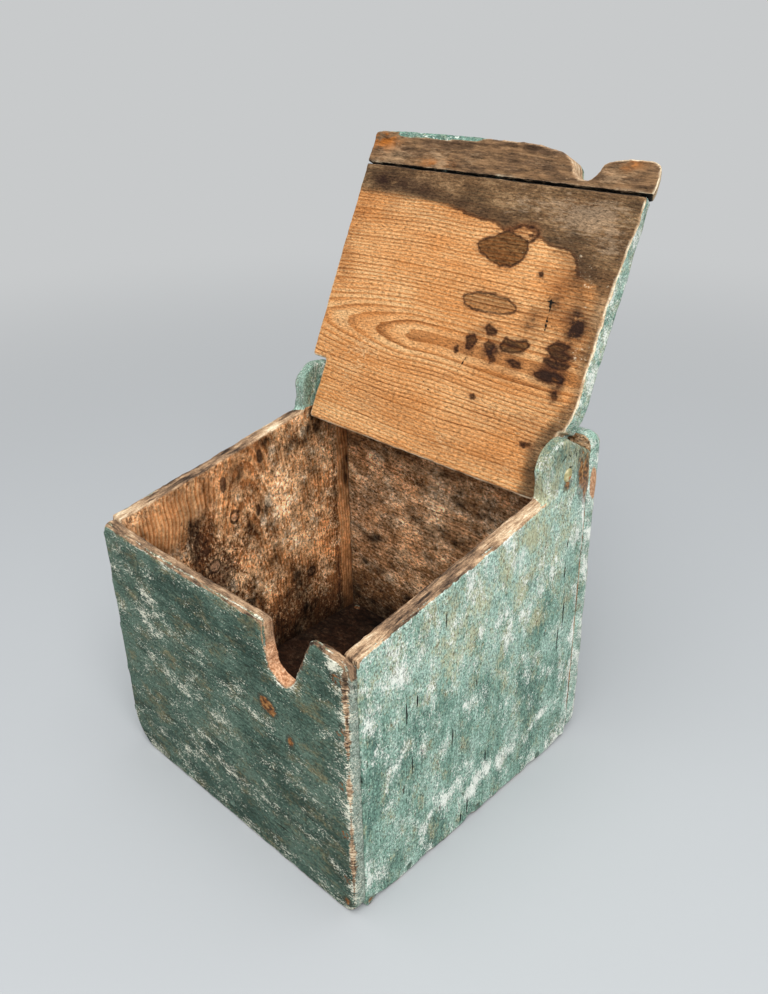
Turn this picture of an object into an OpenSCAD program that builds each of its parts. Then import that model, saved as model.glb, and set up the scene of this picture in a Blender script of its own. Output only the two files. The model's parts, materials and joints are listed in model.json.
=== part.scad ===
// Slant-lidded salt box of nailed boards, with a lid that turns on two wooden pegs.
// Origin: middle of the footprint at the base. X across the front, Y to the back, Z up.
// The lid is shown standing open, leaning back on the ears of the side boards.

/* [Box] */
// Width across the outside of the side boards
box_w = 250; // [200:1:320]
// Depth from the front face to the back face
box_d = 244; // [200:1:300]
// Height of the sloping top where it meets the front face
front_h = 194.5; // [150:0.5:240]
// Slope of the side boards' top edges, rising to the back
lid_slope = 9.6; // [5:0.1:14]
// Thickness of the side boards
side_t = 12; // [9:0.5:16]
// Thickness of the front board
front_t = 10; // [8:0.5:14]
// Thickness of the back board
back_t = 12; // [9:0.5:16]
// How far the back board stands above the side boards' top at the back
back_rise = 24; // [16:0.5:36]
// Thickness of the bottom board
bottom_t = 18; // [12:0.5:24]
// Gap left round the bottom board so that it can swell
bottom_fit = 0.25; // [0.1:0.05:0.8]
// Radius worn on the corners of the front and back boards
corner_round = 7; // [2:0.5:10]

/* [Notch in the front board] */
// Place of the notch's round floor, right of the middle
notch_x = 68; // [30:1:75]
// Radius of the notch's floor
notch_r = 10.5; // [6:0.5:14]
// Depth of the notch below the front board's top
notch_depth = 39; // [24:1:60]
// Reach of the notch's left lip from the middle of its floor
notch_left = 14.5; // [14.5:0.5:24]
// Reach of the notch's right lip from the middle of its floor
notch_right = 26.5; // [15:0.5:32]

/* [Ears and pegs] */
// Distance from the peg's centre to the back board's front face
peg_setback = 25.8; // [25:0.1:34]
// Radius of the ears' round tops about the peg
ear_r = 24.2; // [18:0.1:24.5]
// Radius of the pegs
peg_r = 5; // [3.5:0.1:5.5]
// How far each peg reaches into the lid's edge
peg_grip = 20; // [12:1:30]
// Gap round a peg where it is driven into its ear
peg_seat_fit = 0.02; // [0.01:0.01:0.05]
// Gap round a peg where the lid turns on it
peg_turn_fit = 0.06; // [0.03:0.01:0.1]
// Room past the end of a peg in the lid's blind hole
peg_end_room = 1; // [0.5:0.5:3]

/* [Lid] */
// Thickness of the lid
lid_t = 17; // [14:0.5:20]
// How far the open lid leans back past upright
lid_lean = 26.5; // [10:0.5:35]
// How far the lid stands past the left side board
lid_over_left = 3; // [0:0.5:8]
// How far the lid stops short of the right side board's face
lid_short_right = 6; // [0:0.5:7.5]
// How far the closed lid's front edge stays behind the front face
lid_setback = 1; // [0:0.5:8]
// Gap between the closed lid and the side boards
lid_seat_gap = 0.3; // [0.2:0.05:0.6]
// Gap between the ears and the lid's shoulders
shoulder_gap = 0.4; // [0.3:0.05:1]
// Gap between the lid's tongue and each ear
tongue_side_gap = 1.5; // [0.5:0.1:3]
// Least gap between the turning tongue and the back board
tongue_back_gap = 0.8; // [0.5:0.1:2]

/* [Lid's front strip] */
// Width of the strip joined to the lid's front
strip_w = 26.5; // [24:0.5:40]
// Open joint between the strip and the lid board
strip_joint = 0.8; // [0.3:0.1:0.9]
// Width that the strip's right end has lost
strip_wear = 5; // [2:0.5:8]
// Width that the strip has lost at the lips of its notch
strip_lip_wear = 10; // [4:0.5:12]
// Length of the worn slope left of the strip's notch
strip_slope_left = 24; // [10:0.5:30]
// Length of the worn slope right of the strip's notch
strip_slope_right = 12; // [6:0.5:14]
// Radius of the strip's notch
strip_notch_r = 13.2; // [8:0.2:15]
// How much narrower the notch's mouth is, on each side, than its round floor
strip_mouth_inset = 1.3; // [0.5:0.1:3]
// Depth of the strip's notch from its front edge
strip_notch_depth = 21; // [14:0.5:22]
// Shift of the strip's notch to the right of the front board's
strip_notch_shift = 1.5; // [-4:0.5:4]

/* [Nails] */
// Thickness of the square nail shanks
nail_t = 2.6; // [2:0.1:3.2]
// Length of the nails in the box
nail_len = 42; // [34:1:48]
// Length of the nails in the lid's strip
strip_nail_len = 60; // [54:1:75]
// Width of the nail heads
nail_head_w = 6; // [4.5:0.1:7]
// Thickness of the nail heads
nail_head_t = 1.2; // [0.8:0.1:2]
// Length of the nails' pointed ends
nail_point = 6; // [4:0.5:9]
// Gap round the nails in the wood
nail_fit = 0.02; // [0.01:0.01:0.05]
// Nails down each upright corner
corner_nail_count = 5; // [3:1:6]
// Nails along each edge of the bottom board
bottom_nail_count = 3; // [2:1:4]
// Height of the lowest corner nails
corner_nail_low = 30; // [28:1:40]
// Distance from the top edge down to the highest corner nails
corner_nail_margin = 9; // [7:0.5:20]
// Distance from the box's corners to the outer bottom nails
bottom_nail_margin = 50; // [48:1:70]
// Distance of the strip's outer nails from the lid's middle
strip_nail_x = 100; // [90:1:108]
// Slant of the floor nail, away from upright
floor_nail_lean = 40; // [30:1:50]
// Distance of the floor nail from the left side board
floor_nail_inset = 9; // [6:0.5:20]
// Distance of the floor nail's head from the back board
floor_nail_setback = 6; // [5:0.5:8]
// Wood left past the floor nail's point
floor_nail_cover = 3; // [2:0.5:4]

/* [Hidden] */
$fn = 64;

// Places of the walls' faces
front_y = -box_d / 2;
side_front_y = front_y + front_t;
back_y = box_d / 2;
side_back_y = back_y - back_t;
inner_x = box_w / 2 - side_t;
side_mid_x = box_w / 2 - side_t / 2;
rise = tan(lid_slope);
function top_z(y) = front_h + (y - front_y) * rise;
back_h = top_z(side_back_y) + back_rise;

// Pegs: the closed lid lies on the side boards, a seat gap above them
peg_y = side_back_y - peg_setback;
peg_z = top_z(peg_y) + (lid_t / 2 + lid_seat_gap) / cos(lid_slope);
peg_len = side_t + tongue_side_gap + peg_grip;

// Lid, measured from the peg: reach runs towards the lid's front edge
lid_open = 90 + lid_lean;
shoulder_reach = ear_r + shoulder_gap;
tongue_back = sqrt(pow(peg_setback - tongue_back_gap, 2) - pow(lid_t / 2, 2));
tongue_x = inner_x - tongue_side_gap;
lid_left_x = -box_w / 2 - lid_over_left;
lid_right_x = box_w / 2 - lid_short_right;
lid_reach = (peg_y - front_y - lid_setback + lid_t / 2 * sin(lid_slope)) / cos(lid_slope);
board_reach = lid_reach - strip_w - strip_joint;
strip_back_reach = lid_reach - strip_w;

// The strip's front edge from left to right, as places across the lid and reaches from the peg
strip_notch_x = notch_x + strip_notch_shift;
mouth_half = strip_notch_r - strip_mouth_inset;
mouth_left_x = strip_notch_x - mouth_half;
mouth_right_x = strip_notch_x + mouth_half;
worn_reach = lid_reach - strip_wear;
strip_edge = [
    [lid_left_x, lid_reach], [mouth_left_x - strip_slope_left, lid_reach],
    [mouth_left_x, lid_reach - strip_lip_wear], [mouth_right_x, lid_reach - strip_lip_wear],
    [mouth_right_x + strip_slope_right, worn_reach], [lid_right_x - strip_wear, worn_reach],
    [lid_right_x, worn_reach - strip_wear],
];

// How far cuts run past faces, and how far straight flanks start inside a round
cut_over = 1;
flank_cut = 0.1;

// Nails of neighbouring walls enter the bottom board at two heights, so they don't meet
bottom_nail_low_z = bottom_t * 0.3;
bottom_nail_high_z = bottom_t * 0.7;
strip_nail_mid_x = (mouth_left_x - strip_slope_left - strip_nail_x) / 2;
floor_nail_len = min(
    (bottom_t - floor_nail_cover) / cos(floor_nail_lean),
    (floor_nail_setback + back_t - floor_nail_cover) / sin(floor_nail_lean)
);

// Colours
side_paint = "#82a190";
front_paint = "#55796c";
back_paint = "#6d8f7f";
floor_wood = "#5a4632";
lid_wood = "#c0834f";
strip_wood = "#8a6a4a";
peg_wood = "#a8875c";
nail_iron = "#4a4038";

// Point at an angle and distance from a centre, in a flat drawing
function polar(c, r, a) = c + r * [cos(a), sin(a)];

// Where the line from point p touches a circle at c; side 1 is left of the line to c.
// Straight flanks start on a circle that is smaller by flank_cut, so they cross the round cleanly.
function tangent_point(c, r, p, side) =
    let (v = p - c, d = norm(v), a = atan2(v[1], v[0]), half = acos(r / d))
    polar(c, r, a + side * half);

// One side board's outline in the Y-Z plane. Its ear is round about the peg. In front the ear
// follows the closed lid's shoulder, and behind it follows the open lid's, as a stop.
module side_outline() {
    peg = [peg_y, peg_z];
    closed_touch = polar(peg, ear_r - flank_cut, 180 + lid_slope);
    closed_base = closed_touch + (lid_t / 2 + lid_seat_gap) * [sin(lid_slope), -cos(lid_slope)];
    open_touch = polar(peg, ear_r - flank_cut, 180 - lid_open);
    stop_drop = (side_back_y - open_touch[0]) * tan(lid_lean);
    translate(peg) circle(ear_r);
    polygon([
        [side_front_y, 0], [side_back_y, 0], [side_back_y, open_touch[1] - stop_drop],
        open_touch, closed_touch, closed_base, [side_front_y, top_z(side_front_y)],
    ]);
}

module side_blank() {
    rotate([90, 0, 90]) linear_extrude(side_t) side_outline();
}

// The hole for a peg right through an ear, whose inner face is at x
module ear_hole(x) {
    translate([x - cut_over, peg_y, peg_z]) rotate([0, 90, 0])
        cylinder(r = peg_r + peg_seat_fit, h = side_t + 2 * cut_over);
}

// A square nail that points along +Z, with its head's top at the origin and a chisel point
module nail(length, fit = 0) {
    head = nail_head_w + 2 * fit;
    half = nail_t / 2 + fit;
    tip = half / 3;
    shaft = length - nail_point;
    translate([-head / 2, -head / 2, -fit]) cube([head, head, nail_head_t + fit]);
    rotate([90, 0, 0]) linear_extrude(2 * half, center = true) polygon([
        [-half, 0], [half, 0], [half, shaft],
        [tip, length + fit], [-tip, length + fit], [-half, shaft],
    ]);
}

// Heights of the nails down a corner whose top edge is at top
function corner_heights(top) = [
    for (i = [0:corner_nail_count - 1])
        corner_nail_low + i * (top - corner_nail_margin - corner_nail_low) / (corner_nail_count - 1)
];

// Places of the nails along an edge of the given half length
function edge_places(half) = [
    for (i = [0:bottom_nail_count - 1])
        (half - bottom_nail_margin) * (2 * i / (bottom_nail_count - 1) - 1)
];

module front_corner_nails(side, fit = 0) {
    for (z = corner_heights(front_h))
        translate([side * side_mid_x, front_y, z]) rotate([-90, 0, 0]) nail(nail_len, fit);
}

module back_corner_nails(side, fit = 0) {
    for (z = corner_heights(top_z(side_back_y)))
        translate([side * side_mid_x, back_y, z]) rotate([90, 0, 0]) nail(nail_len, fit);
}

module side_bottom_nails(side, fit = 0) {
    for (y = edge_places(box_d / 2))
        translate([side * box_w / 2, y, bottom_nail_low_z]) rotate([0, -90 * side, 0])
            nail(nail_len, fit);
}

module end_bottom_nails(side, fit = 0) {
    for (x = edge_places(box_w / 2))
        translate([x, side * box_d / 2, bottom_nail_high_z]) rotate([90 * side, 0, 0])
            nail(nail_len, fit);
}

// The nail that shows inside, by the back left corner. It slants through the bottom board's edge
// into the back board.
module corner_floor_nail(fit = 0) {
    translate([-inner_x + floor_nail_inset, side_back_y - floor_nail_setback, bottom_t])
        rotate([180 + floor_nail_lean, 0, 0]) nail(floor_nail_len, fit);
}

module left_side() {
    color(side_paint) difference() {
        translate([-box_w / 2, 0, 0]) side_blank();
        ear_hole(-box_w / 2);
        front_corner_nails(-1, nail_fit);
        back_corner_nails(-1, nail_fit);
        side_bottom_nails(-1, nail_fit);
    }
}

module right_side() {
    color(side_paint) difference() {
        translate([inner_x, 0, 0]) side_blank();
        ear_hole(inner_x);
        front_corner_nails(1, nail_fit);
        back_corner_nails(1, nail_fit);
        side_bottom_nails(1, nail_fit);
    }
}

// A board's outline, standing on the middle of its lower edge, with its corners worn round
module worn_rect(w, h) {
    translate([-w / 2 + corner_round, 0]) square([w - 2 * corner_round, h]);
    translate([-w / 2, corner_round]) square([w, h - 2 * corner_round]);
    for (x = [-1, 1], z = [corner_round, h - corner_round])
        translate([x * (w / 2 - corner_round), z]) circle(corner_round);
}

// The front board's notch, open at the top, with a round floor and two straight flanks
module notch_outline() {
    lip_z = top_z(side_front_y) + cut_over;
    c = [notch_x, front_h - notch_depth + notch_r];
    left_lip = [notch_x - notch_left, lip_z];
    right_lip = [notch_x + notch_right, lip_z];
    translate(c) circle(notch_r);
    polygon([
        c, tangent_point(c, notch_r - flank_cut, right_lip, -1), right_lip,
        left_lip, tangent_point(c, notch_r - flank_cut, left_lip, 1),
    ]);
}

// The front board's lower corners are worn round, and its top is planed to the lid's slope
module front_board() {
    color(front_paint) difference() {
        intersection() {
            translate([0, side_front_y, 0]) rotate([90, 0, 0]) linear_extrude(front_t)
                worn_rect(box_w, top_z(side_front_y) + corner_round);
            rotate([90, 0, 90]) linear_extrude(box_w + 2 * cut_over, center = true)
                polygon([
                    [front_y, 0], [side_front_y, 0],
                    [side_front_y, top_z(side_front_y)], [front_y, front_h],
                ]);
        }
        translate([0, side_front_y + cut_over, 0]) rotate([90, 0, 0])
            linear_extrude(front_t + 2 * cut_over) notch_outline();
        front_corner_nails(-1, nail_fit);
        front_corner_nails(1, nail_fit);
        end_bottom_nails(-1, nail_fit);
    }
}

module back_board() {
    color(back_paint) difference() {
        translate([0, back_y, 0]) rotate([90, 0, 0]) linear_extrude(back_t)
            worn_rect(box_w, back_h);
        back_corner_nails(-1, nail_fit);
        back_corner_nails(1, nail_fit);
        end_bottom_nails(1, nail_fit);
        corner_floor_nail(nail_fit);
    }
}

module bottom_board() {
    floor_w = 2 * (inner_x - bottom_fit);
    floor_d = side_back_y - side_front_y - 2 * bottom_fit;
    color(floor_wood) difference() {
        translate([-floor_w / 2, side_front_y + bottom_fit, 0]) cube([floor_w, floor_d, bottom_t]);
        side_bottom_nails(-1, nail_fit);
        side_bottom_nails(1, nail_fit);
        end_bottom_nails(-1, nail_fit);
        end_bottom_nails(1, nail_fit);
        corner_floor_nail(nail_fit);
    }
}

module pivot_peg(side) {
    color(peg_wood)
        translate([side * box_w / 2, peg_y, peg_z]) rotate([0, -90 * side, 0])
            cylinder(r = peg_r, h = peg_len);
}

// Puts what is drawn flat, peg at the origin and front edge towards -Y, where the open lid is
module open_lid() {
    translate([0, peg_y, peg_z]) rotate([-lid_open, 0, 0]) children();
}

module lid_board() {
    color(lid_wood) open_lid() difference() {
        translate([0, 0, -lid_t / 2]) linear_extrude(lid_t) polygon([
            [lid_left_x, -board_reach], [lid_right_x, -board_reach],
            [lid_right_x, -shoulder_reach], [tongue_x, -shoulder_reach],
            [tongue_x, tongue_back], [-tongue_x, tongue_back],
            [-tongue_x, -shoulder_reach], [lid_left_x, -shoulder_reach],
        ]);
        for (s = [-1, 1])
            translate([s * (tongue_x + cut_over), 0, 0]) rotate([0, -90 * s, 0])
                cylinder(r = peg_r + peg_turn_fit, h = peg_grip + peg_end_room + cut_over);
        strip_nail_row(nail_fit);
    }
}

// The strip is whole on the left and worn back right of its notch
module lid_front_strip() {
    edge = [for (p = strip_edge) [p[0], -p[1]]];
    color(strip_wood) open_lid() difference() {
        translate([0, 0, -lid_t / 2]) linear_extrude(lid_t) difference() {
            polygon(concat(
                [[lid_right_x, -strip_back_reach], [lid_left_x, -strip_back_reach]], edge
            ));
            translate([strip_notch_x, strip_notch_depth - strip_notch_r - lid_reach])
                circle(strip_notch_r);
        }
        strip_nail_row(nail_fit);
    }
}

module strip_nail_row(fit = 0) {
    for (x = [-strip_nail_x, strip_nail_mid_x, strip_nail_x])
        translate([x, -lookup(x, strip_edge), 0]) rotate([-90, 0, 0]) nail(strip_nail_len, fit);
}

left_side();
right_side();
front_board();
back_board();
bottom_board();
pivot_peg(-1);  // pivot_peg_left
pivot_peg(1);  // pivot_peg_right
color(nail_iron) front_corner_nails(-1);  // front_nails_left
color(nail_iron) front_corner_nails(1);  // front_nails_right
color(nail_iron) back_corner_nails(-1);  // back_nails_left
color(nail_iron) back_corner_nails(1);  // back_nails_right
color(nail_iron) side_bottom_nails(-1);  // bottom_nails_left
color(nail_iron) side_bottom_nails(1);  // bottom_nails_right
color(nail_iron) end_bottom_nails(-1);  // bottom_nails_front
color(nail_iron) end_bottom_nails(1);  // bottom_nails_back
color(nail_iron) corner_floor_nail();  // floor_nail
lid_board();
lid_front_strip();
color(nail_iron) open_lid() strip_nail_row();  // strip_nails
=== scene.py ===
"""Looks of the salt box: worn boards, rusted nails and the studio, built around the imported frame.

Boards are modelled in millimetres in their own flat coordinates (a, b, depth) and then placed in the frame.
"""

import json
import math

import bmesh
import bpy
import numpy as np
from mathutils import Matrix, Vector, kdtree


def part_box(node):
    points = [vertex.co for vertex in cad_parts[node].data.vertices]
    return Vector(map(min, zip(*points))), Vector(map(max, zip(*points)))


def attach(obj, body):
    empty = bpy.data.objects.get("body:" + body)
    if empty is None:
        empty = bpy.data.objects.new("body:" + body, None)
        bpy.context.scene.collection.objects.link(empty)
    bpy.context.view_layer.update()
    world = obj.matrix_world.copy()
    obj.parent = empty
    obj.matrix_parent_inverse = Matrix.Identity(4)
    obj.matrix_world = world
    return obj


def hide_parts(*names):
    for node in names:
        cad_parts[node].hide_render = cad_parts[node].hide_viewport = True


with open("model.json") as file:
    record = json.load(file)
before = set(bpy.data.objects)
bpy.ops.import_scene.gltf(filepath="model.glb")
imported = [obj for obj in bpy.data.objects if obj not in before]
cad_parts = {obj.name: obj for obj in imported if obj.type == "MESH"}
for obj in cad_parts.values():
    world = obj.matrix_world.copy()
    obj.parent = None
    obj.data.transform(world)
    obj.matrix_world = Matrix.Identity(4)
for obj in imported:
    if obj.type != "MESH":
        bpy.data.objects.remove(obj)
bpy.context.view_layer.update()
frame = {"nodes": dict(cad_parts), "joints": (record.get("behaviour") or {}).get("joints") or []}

MM = 0.001


# Sizes read from the frame, in millimetres

def span(node, axis):
    """Lowest and highest place of a CAD node along an axis."""
    low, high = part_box(node)
    return low[axis] / MM, high[axis] / MM


left_x, left_inner_x = span("left_side", 0)
right_inner_x, right_x = span("right_side", 0)
front_y, side_front_y = span("front_board", 1)
side_back_y, back_y = span("back_board", 1)
back_top = span("back_board", 2)[1]
floor_top = span("bottom_board", 2)[1]
hinge = frame["joints"][0]
peg_y = hinge["pos_m"][1] / MM
peg_z = hinge["pos_m"][2] / MM
closing = hinge["range_deg"][1]
LID_SLOPE = 9.6
LID_T = 17
rise = math.tan(math.radians(LID_SLOPE))
side_front_top = span("front_board", 2)[1]
front_top = side_front_top - (side_front_y - front_y) * rise
EAR_LIMIT = 24.2
PEG_R = 5


def top_z(y):
    """Height of the side boards' sloping top."""
    return front_top + (y - front_y) * rise


# Noise and shapes in numpy

# A distance greater than any on the boards, in millimetres
FAR = 1000.0


def lattice(cell, seed):
    """A repeatable number from -1 to 1 for each row of whole numbers."""
    h = cell[:, 0] * 73856093 ^ cell[:, 1] * 19349663 ^ cell[:, 2] * 83492791 ^ (seed + 1) * 2654435761
    h = (h ^ (h >> 13)) * 1274126177
    h = h ^ (h >> 16)
    return (h & 0xFFFF) / 32767.5 - 1


def noise(points, size, seed=0, octaves=2):
    """Smooth noise of about -1 to 1. size is the feature size, or one for each axis."""
    total = np.zeros(len(points))
    weight = 1.0
    for octave in range(octaves):
        p = points / np.asarray(size, float) * 2 ** octave + 17.3 * octave
        cell = np.floor(p).astype(np.int64)
        f = p - cell
        f = f * f * (3 - 2 * f)
        for corner in np.ndindex(2, 2, 2):
            near = np.where(np.array(corner) == 1, f, 1 - f).prod(1)
            total += weight * near * lattice(cell + np.array(corner), seed + 31 * octave)
        weight *= 0.5
    return total


def ease(value, low, high):
    """0 below low and 1 above high, smooth between."""
    t = np.clip((value - low) / (high - low), 0, 1)
    return t * t * (3 - 2 * t)


def from_middle(a, b, centre_a, centre_b, half_length, half_width, turn):
    """How far points lie from an oval's middle. It is 1 on the oval. turn is in degrees."""
    c, s = math.cos(math.radians(turn)), math.sin(math.radians(turn))
    along = ((a - centre_a) * c + (b - centre_b) * s) / half_length
    across = (-(a - centre_a) * s + (b - centre_b) * c) / half_width
    return np.hypot(along, across)


def patch(a, b, spots):
    """Distance in millimetres from the nearest of the oval spots (a, b, half length, half width, turn)."""
    nearest = np.full(len(a), FAR)
    for spot in spots:
        nearest = np.minimum(nearest, (from_middle(a, b, *spot) - 1) * min(spot[2], spot[3]))
    return nearest


def clouds(a, b, spots):
    """Sum of soft oval clouds (a, b, half length, half width, turn, strength)."""
    total = np.zeros(len(a))
    for *oval, strength in spots:
        total += strength * np.exp(-from_middle(a, b, *oval) ** 2)
    return total


def from_line(a, b, a1, b1, a2, b2):
    """Distance of points from a straight line, and how far along it they lie, from 0 to 1."""
    da, db = a2 - a1, b2 - b1
    t = np.clip(((a - a1) * da + (b - b1) * db) / (da * da + db * db), 0, 1)
    return np.hypot(a - a1 - t * da, b - b1 - t * db), t


def strokes(a, b, lines):
    """Distance in millimetres from the nearest of the pointed strokes (a1, b1, a2, b2, half width)."""
    nearest = np.full(len(a), FAR)
    for *line, half in lines:
        away, t = from_line(a, b, *line)
        nearest = np.minimum(nearest, away - half * (1 - (2 * t - 1) ** 2))
    return nearest


# Outlines

def rounded(corners, step=1.5):
    """Dense closed outline of a polygon given as corners (a, b, radius)."""
    points = []
    for i, (a, b, radius) in enumerate(corners):
        p = np.array([a, b], float)
        back = np.array(corners[i - 1][:2], float) - p
        ahead = np.array(corners[(i + 1) % len(corners)][:2], float) - p
        long_back, long_ahead = np.linalg.norm(back), np.linalg.norm(ahead)
        u, v = back / long_back, ahead / long_ahead
        half = math.acos(np.clip(u @ v, -1, 1)) / 2
        cut = min(radius / math.tan(half), 0.49 * long_back, 0.49 * long_ahead)
        if cut < 0.05 or half > math.radians(89.5):
            points.append(p)
            continue
        r = cut * math.tan(half)
        centre = p + (u + v) / np.linalg.norm(u + v) * r / math.sin(half)
        first, last = p + u * cut - centre, p + v * cut - centre
        start = math.atan2(first[1], first[0])
        sweep = (math.atan2(last[1], last[0]) - start + math.pi) % (2 * math.pi) - math.pi
        for t in np.linspace(0, 1, max(3, math.ceil(abs(sweep) * r / step) + 1)):
            angle = start + sweep * t
            points.append(centre + r * np.array([math.cos(angle), math.sin(angle)]))
    return np.array(points)


def resample(outline, step):
    """The closed outline with points evenly about step apart, counter-clockwise."""
    following = np.roll(outline, -1, 0)
    area = np.sum(outline[:, 0] * following[:, 1] - following[:, 0] * outline[:, 1])
    if area < 0:
        outline = outline[::-1]
    closed = np.vstack([outline, outline[:1]])
    along = np.concatenate([[0], np.cumsum(np.linalg.norm(np.diff(closed, axis=0), axis=1))])
    places = np.linspace(0, along[-1], max(8, int(along[-1] / step)), endpoint=False)
    return np.column_stack([np.interp(places, along, closed[:, i]) for i in (0, 1)])


def inward(outline):
    """Unit normals of a counter-clockwise outline, pointing inside."""
    tangent = np.roll(outline, -1, 0) - np.roll(outline, 1, 0)
    tangent /= np.linalg.norm(tangent, axis=1, keepdims=True) + 1e-9
    return np.column_stack([-tangent[:, 1], tangent[:, 0]])


def ragged(outline, amount, size, seed):
    """The outline with uneven wear. amount is in millimetres, one number or one for each point."""
    flat = np.column_stack([outline, np.full(len(outline), 3.7)])
    wobble = noise(flat, size, seed, 3)
    return outline + inward(outline) * (wobble * amount)[:, None]


# Meshes of boards

class Board:
    """A board's even closed mesh in flat coordinates, with what is known of each point."""

    def __init__(self, outline, low, high, voxel, bores=()):
        self.low, self.high, self.voxel = low, high, voxel
        self.outline = outline
        bm = bmesh.new()
        rim = [bm.verts.new((a, b, low)) for a, b in outline]
        grown = bmesh.ops.extrude_face_region(bm, geom=[bm.faces.new(rim)])
        risen = [v for v in grown["geom"] if isinstance(v, bmesh.types.BMVert)]
        bmesh.ops.translate(bm, verts=risen, vec=(0, 0, high - low))
        bmesh.ops.triangulate(bm, faces=bm.faces[:])
        bmesh.ops.recalc_face_normals(bm, faces=bm.faces)
        self.mesh = even_mesh(bm, voxel, bores)
        self.points = np.empty(len(self.mesh.vertices) * 3)
        self.mesh.vertices.foreach_get("co", self.points)
        self.points = self.points.reshape(-1, 3)
        self.measure_rim()
        self.snap()

    def measure_rim(self):
        """Distance in from the outline, and the inward direction, for each point."""
        fine = resample(self.outline, 0.4)
        normals = inward(fine)
        tree = kdtree.KDTree(len(fine))
        for i, (a, b) in enumerate(fine):
            tree.insert((a, b, 0), i)
        tree.balance()
        found = [tree.find((a, b, 0)) for a, b in self.points[:, :2]]
        nearest = np.array([hit[1] for hit in found])
        apart = np.array([hit[2] for hit in found])
        self.inward = normals[nearest]
        across = ((self.points[:, :2] - fine[nearest]) * self.inward).sum(1)
        self.rim = np.where(apart < 1.5, across, apart)

    def snap(self):
        """Puts points that lie close to a face or to the outline exactly on it."""
        near = 0.6 * self.voxel
        for face in (self.low, self.high):
            self.points[np.abs(self.points[:, 2] - face) < near, 2] = face
        on_rim = np.abs(self.rim) < near
        self.points[on_rim, :2] -= (self.inward * self.rim[:, None])[on_rim]
        self.rim[on_rim] = 0
        self.rim = np.maximum(self.rim, 0)
        edge = np.minimum(self.points[:, 2] - self.low, self.high - self.points[:, 2])
        self.arris = np.hypot(self.rim, np.maximum(edge, 0))
        self.flat = self.points.copy()

    def wear(self, low_radius, high_radius):
        """Rounds the arrises at the low and high face by a radius for each point."""
        for face, turn, radius in ((self.low, 1, low_radius), (self.high, -1, high_radius)):
            radius = np.broadcast_to(radius, self.rim.shape)
            a = radius - self.rim
            b = radius - np.abs(self.flat[:, 2] - face)
            reach = np.hypot(a, b)
            worn = (a > 0) & (b > 0) & (reach > radius)
            left = np.where(worn, 1 - radius / np.maximum(reach, 1e-9), 0)
            self.points[:, :2] += self.inward * (a * left)[:, None]
            self.points[:, 2] += turn * b * left

    def soften(self, passes=3):
        """Evens out the small steps that wear leaves along slanting arrises."""
        edges = np.empty(len(self.mesh.edges) * 2, int)
        self.mesh.edges.foreach_get("vertices", edges)
        ends = np.concatenate([edges.reshape(-1, 2), edges.reshape(-1, 2)[:, ::-1]])
        count = np.bincount(ends[:, 0], minlength=len(self.points))[:, None]
        weight = 0.6 * np.exp(-(self.arris / 5) ** 2)[:, None]
        for _ in range(passes):
            mean = np.column_stack([
                np.bincount(ends[:, 0], self.points[ends[:, 1], i], len(self.points)) for i in range(3)
            ]) / count
            self.points += weight * (mean - self.points)

    def dent(self, a, b, depth, reach, push):
        """Pushes the surface round a place by push, fading out over reach."""
        away = self.flat - (a, b, depth)
        self.points += np.exp(-((away / reach) ** 2).sum(1))[:, None] * np.array(push, float)

    def normals(self):
        self.mesh.vertices.foreach_set("co", self.points.ravel())
        self.mesh.update()
        found = np.empty(len(self.points) * 3)
        self.mesh.vertex_normals.foreach_get("vector", found)
        return found.reshape(-1, 3)

    def weather(self, amount, size, seed, octaves=3):
        """Moves the surface in and out by noise. amount is in millimetres, one or one for each point."""
        self.points += self.normals() * (noise(self.flat, size, seed, octaves) * amount)[:, None]


def even_mesh(bm, voxel, bores=()):
    """The closed bmesh as an even mesh of small squares, with round bores (centre, way, radius, length)."""
    carrier = link("raw", bm)
    drill = bmesh.new()
    for centre, way, radius, length in bores:
        turn = Vector((0, 0, 1)).rotation_difference(Vector(way)).to_matrix().to_4x4()
        bmesh.ops.create_cone(
            drill, cap_ends=True, segments=40, radius1=radius, radius2=radius, depth=length,
            matrix=Matrix.Translation(Vector(centre)) @ turn,
        )
    cutter = link("drill", drill)
    if bores:
        cut = carrier.modifiers.new("cut", "BOOLEAN")
        cut.object = cutter
        cut.operation = "DIFFERENCE"
    remesh = carrier.modifiers.new("even", "REMESH")
    remesh.mode = "VOXEL"
    remesh.voxel_size = voxel
    ready = carrier.evaluated_get(bpy.context.evaluated_depsgraph_get())
    mesh = bpy.data.meshes.new_from_object(ready)
    for used in (carrier, cutter):
        raw = used.data
        bpy.data.objects.remove(used)
        bpy.data.meshes.remove(raw)
    return mesh


def link(name, bm):
    """A bmesh as an object in the scene."""
    mesh = bpy.data.meshes.new(name)
    bm.to_mesh(mesh)
    bm.free()
    made = bpy.data.objects.new(name, mesh)
    bpy.context.scene.collection.objects.link(made)
    return made


def keep(mesh, name, values):
    """Stores one number or one vector for each point, for the materials."""
    kind, field = ("FLOAT", "value") if values.ndim == 1 else ("FLOAT_VECTOR", "vector")
    stored = mesh.attributes.new(name, kind, "POINT")
    stored.data.foreach_set(field, values.astype(np.float32).ravel())


def finish_piece(mesh, name, body, node, material, place=Matrix.Identity(4)):
    """Places a mesh given in millimetres in the frame, hangs it under its body and hides the CAD node it
    stands for.
    """
    mesh.name = name
    if "board" not in mesh.attributes:
        places = np.empty(len(mesh.vertices) * 3)
        mesh.vertices.foreach_get("co", places)
        keep(mesh, "board", places.reshape(-1, 3))
    mesh.transform(place @ Matrix.Scale(MM, 4))
    mesh.shade_smooth()
    mesh.materials.clear()
    mesh.materials.append(material)
    piece = bpy.data.objects.new(name, mesh)
    bpy.context.scene.collection.objects.link(piece)
    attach(piece, body)
    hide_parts(node)


# Stored where a board has none of a mark, well outside the mark's edge at 0
NO_MARK = -9.0


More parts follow.
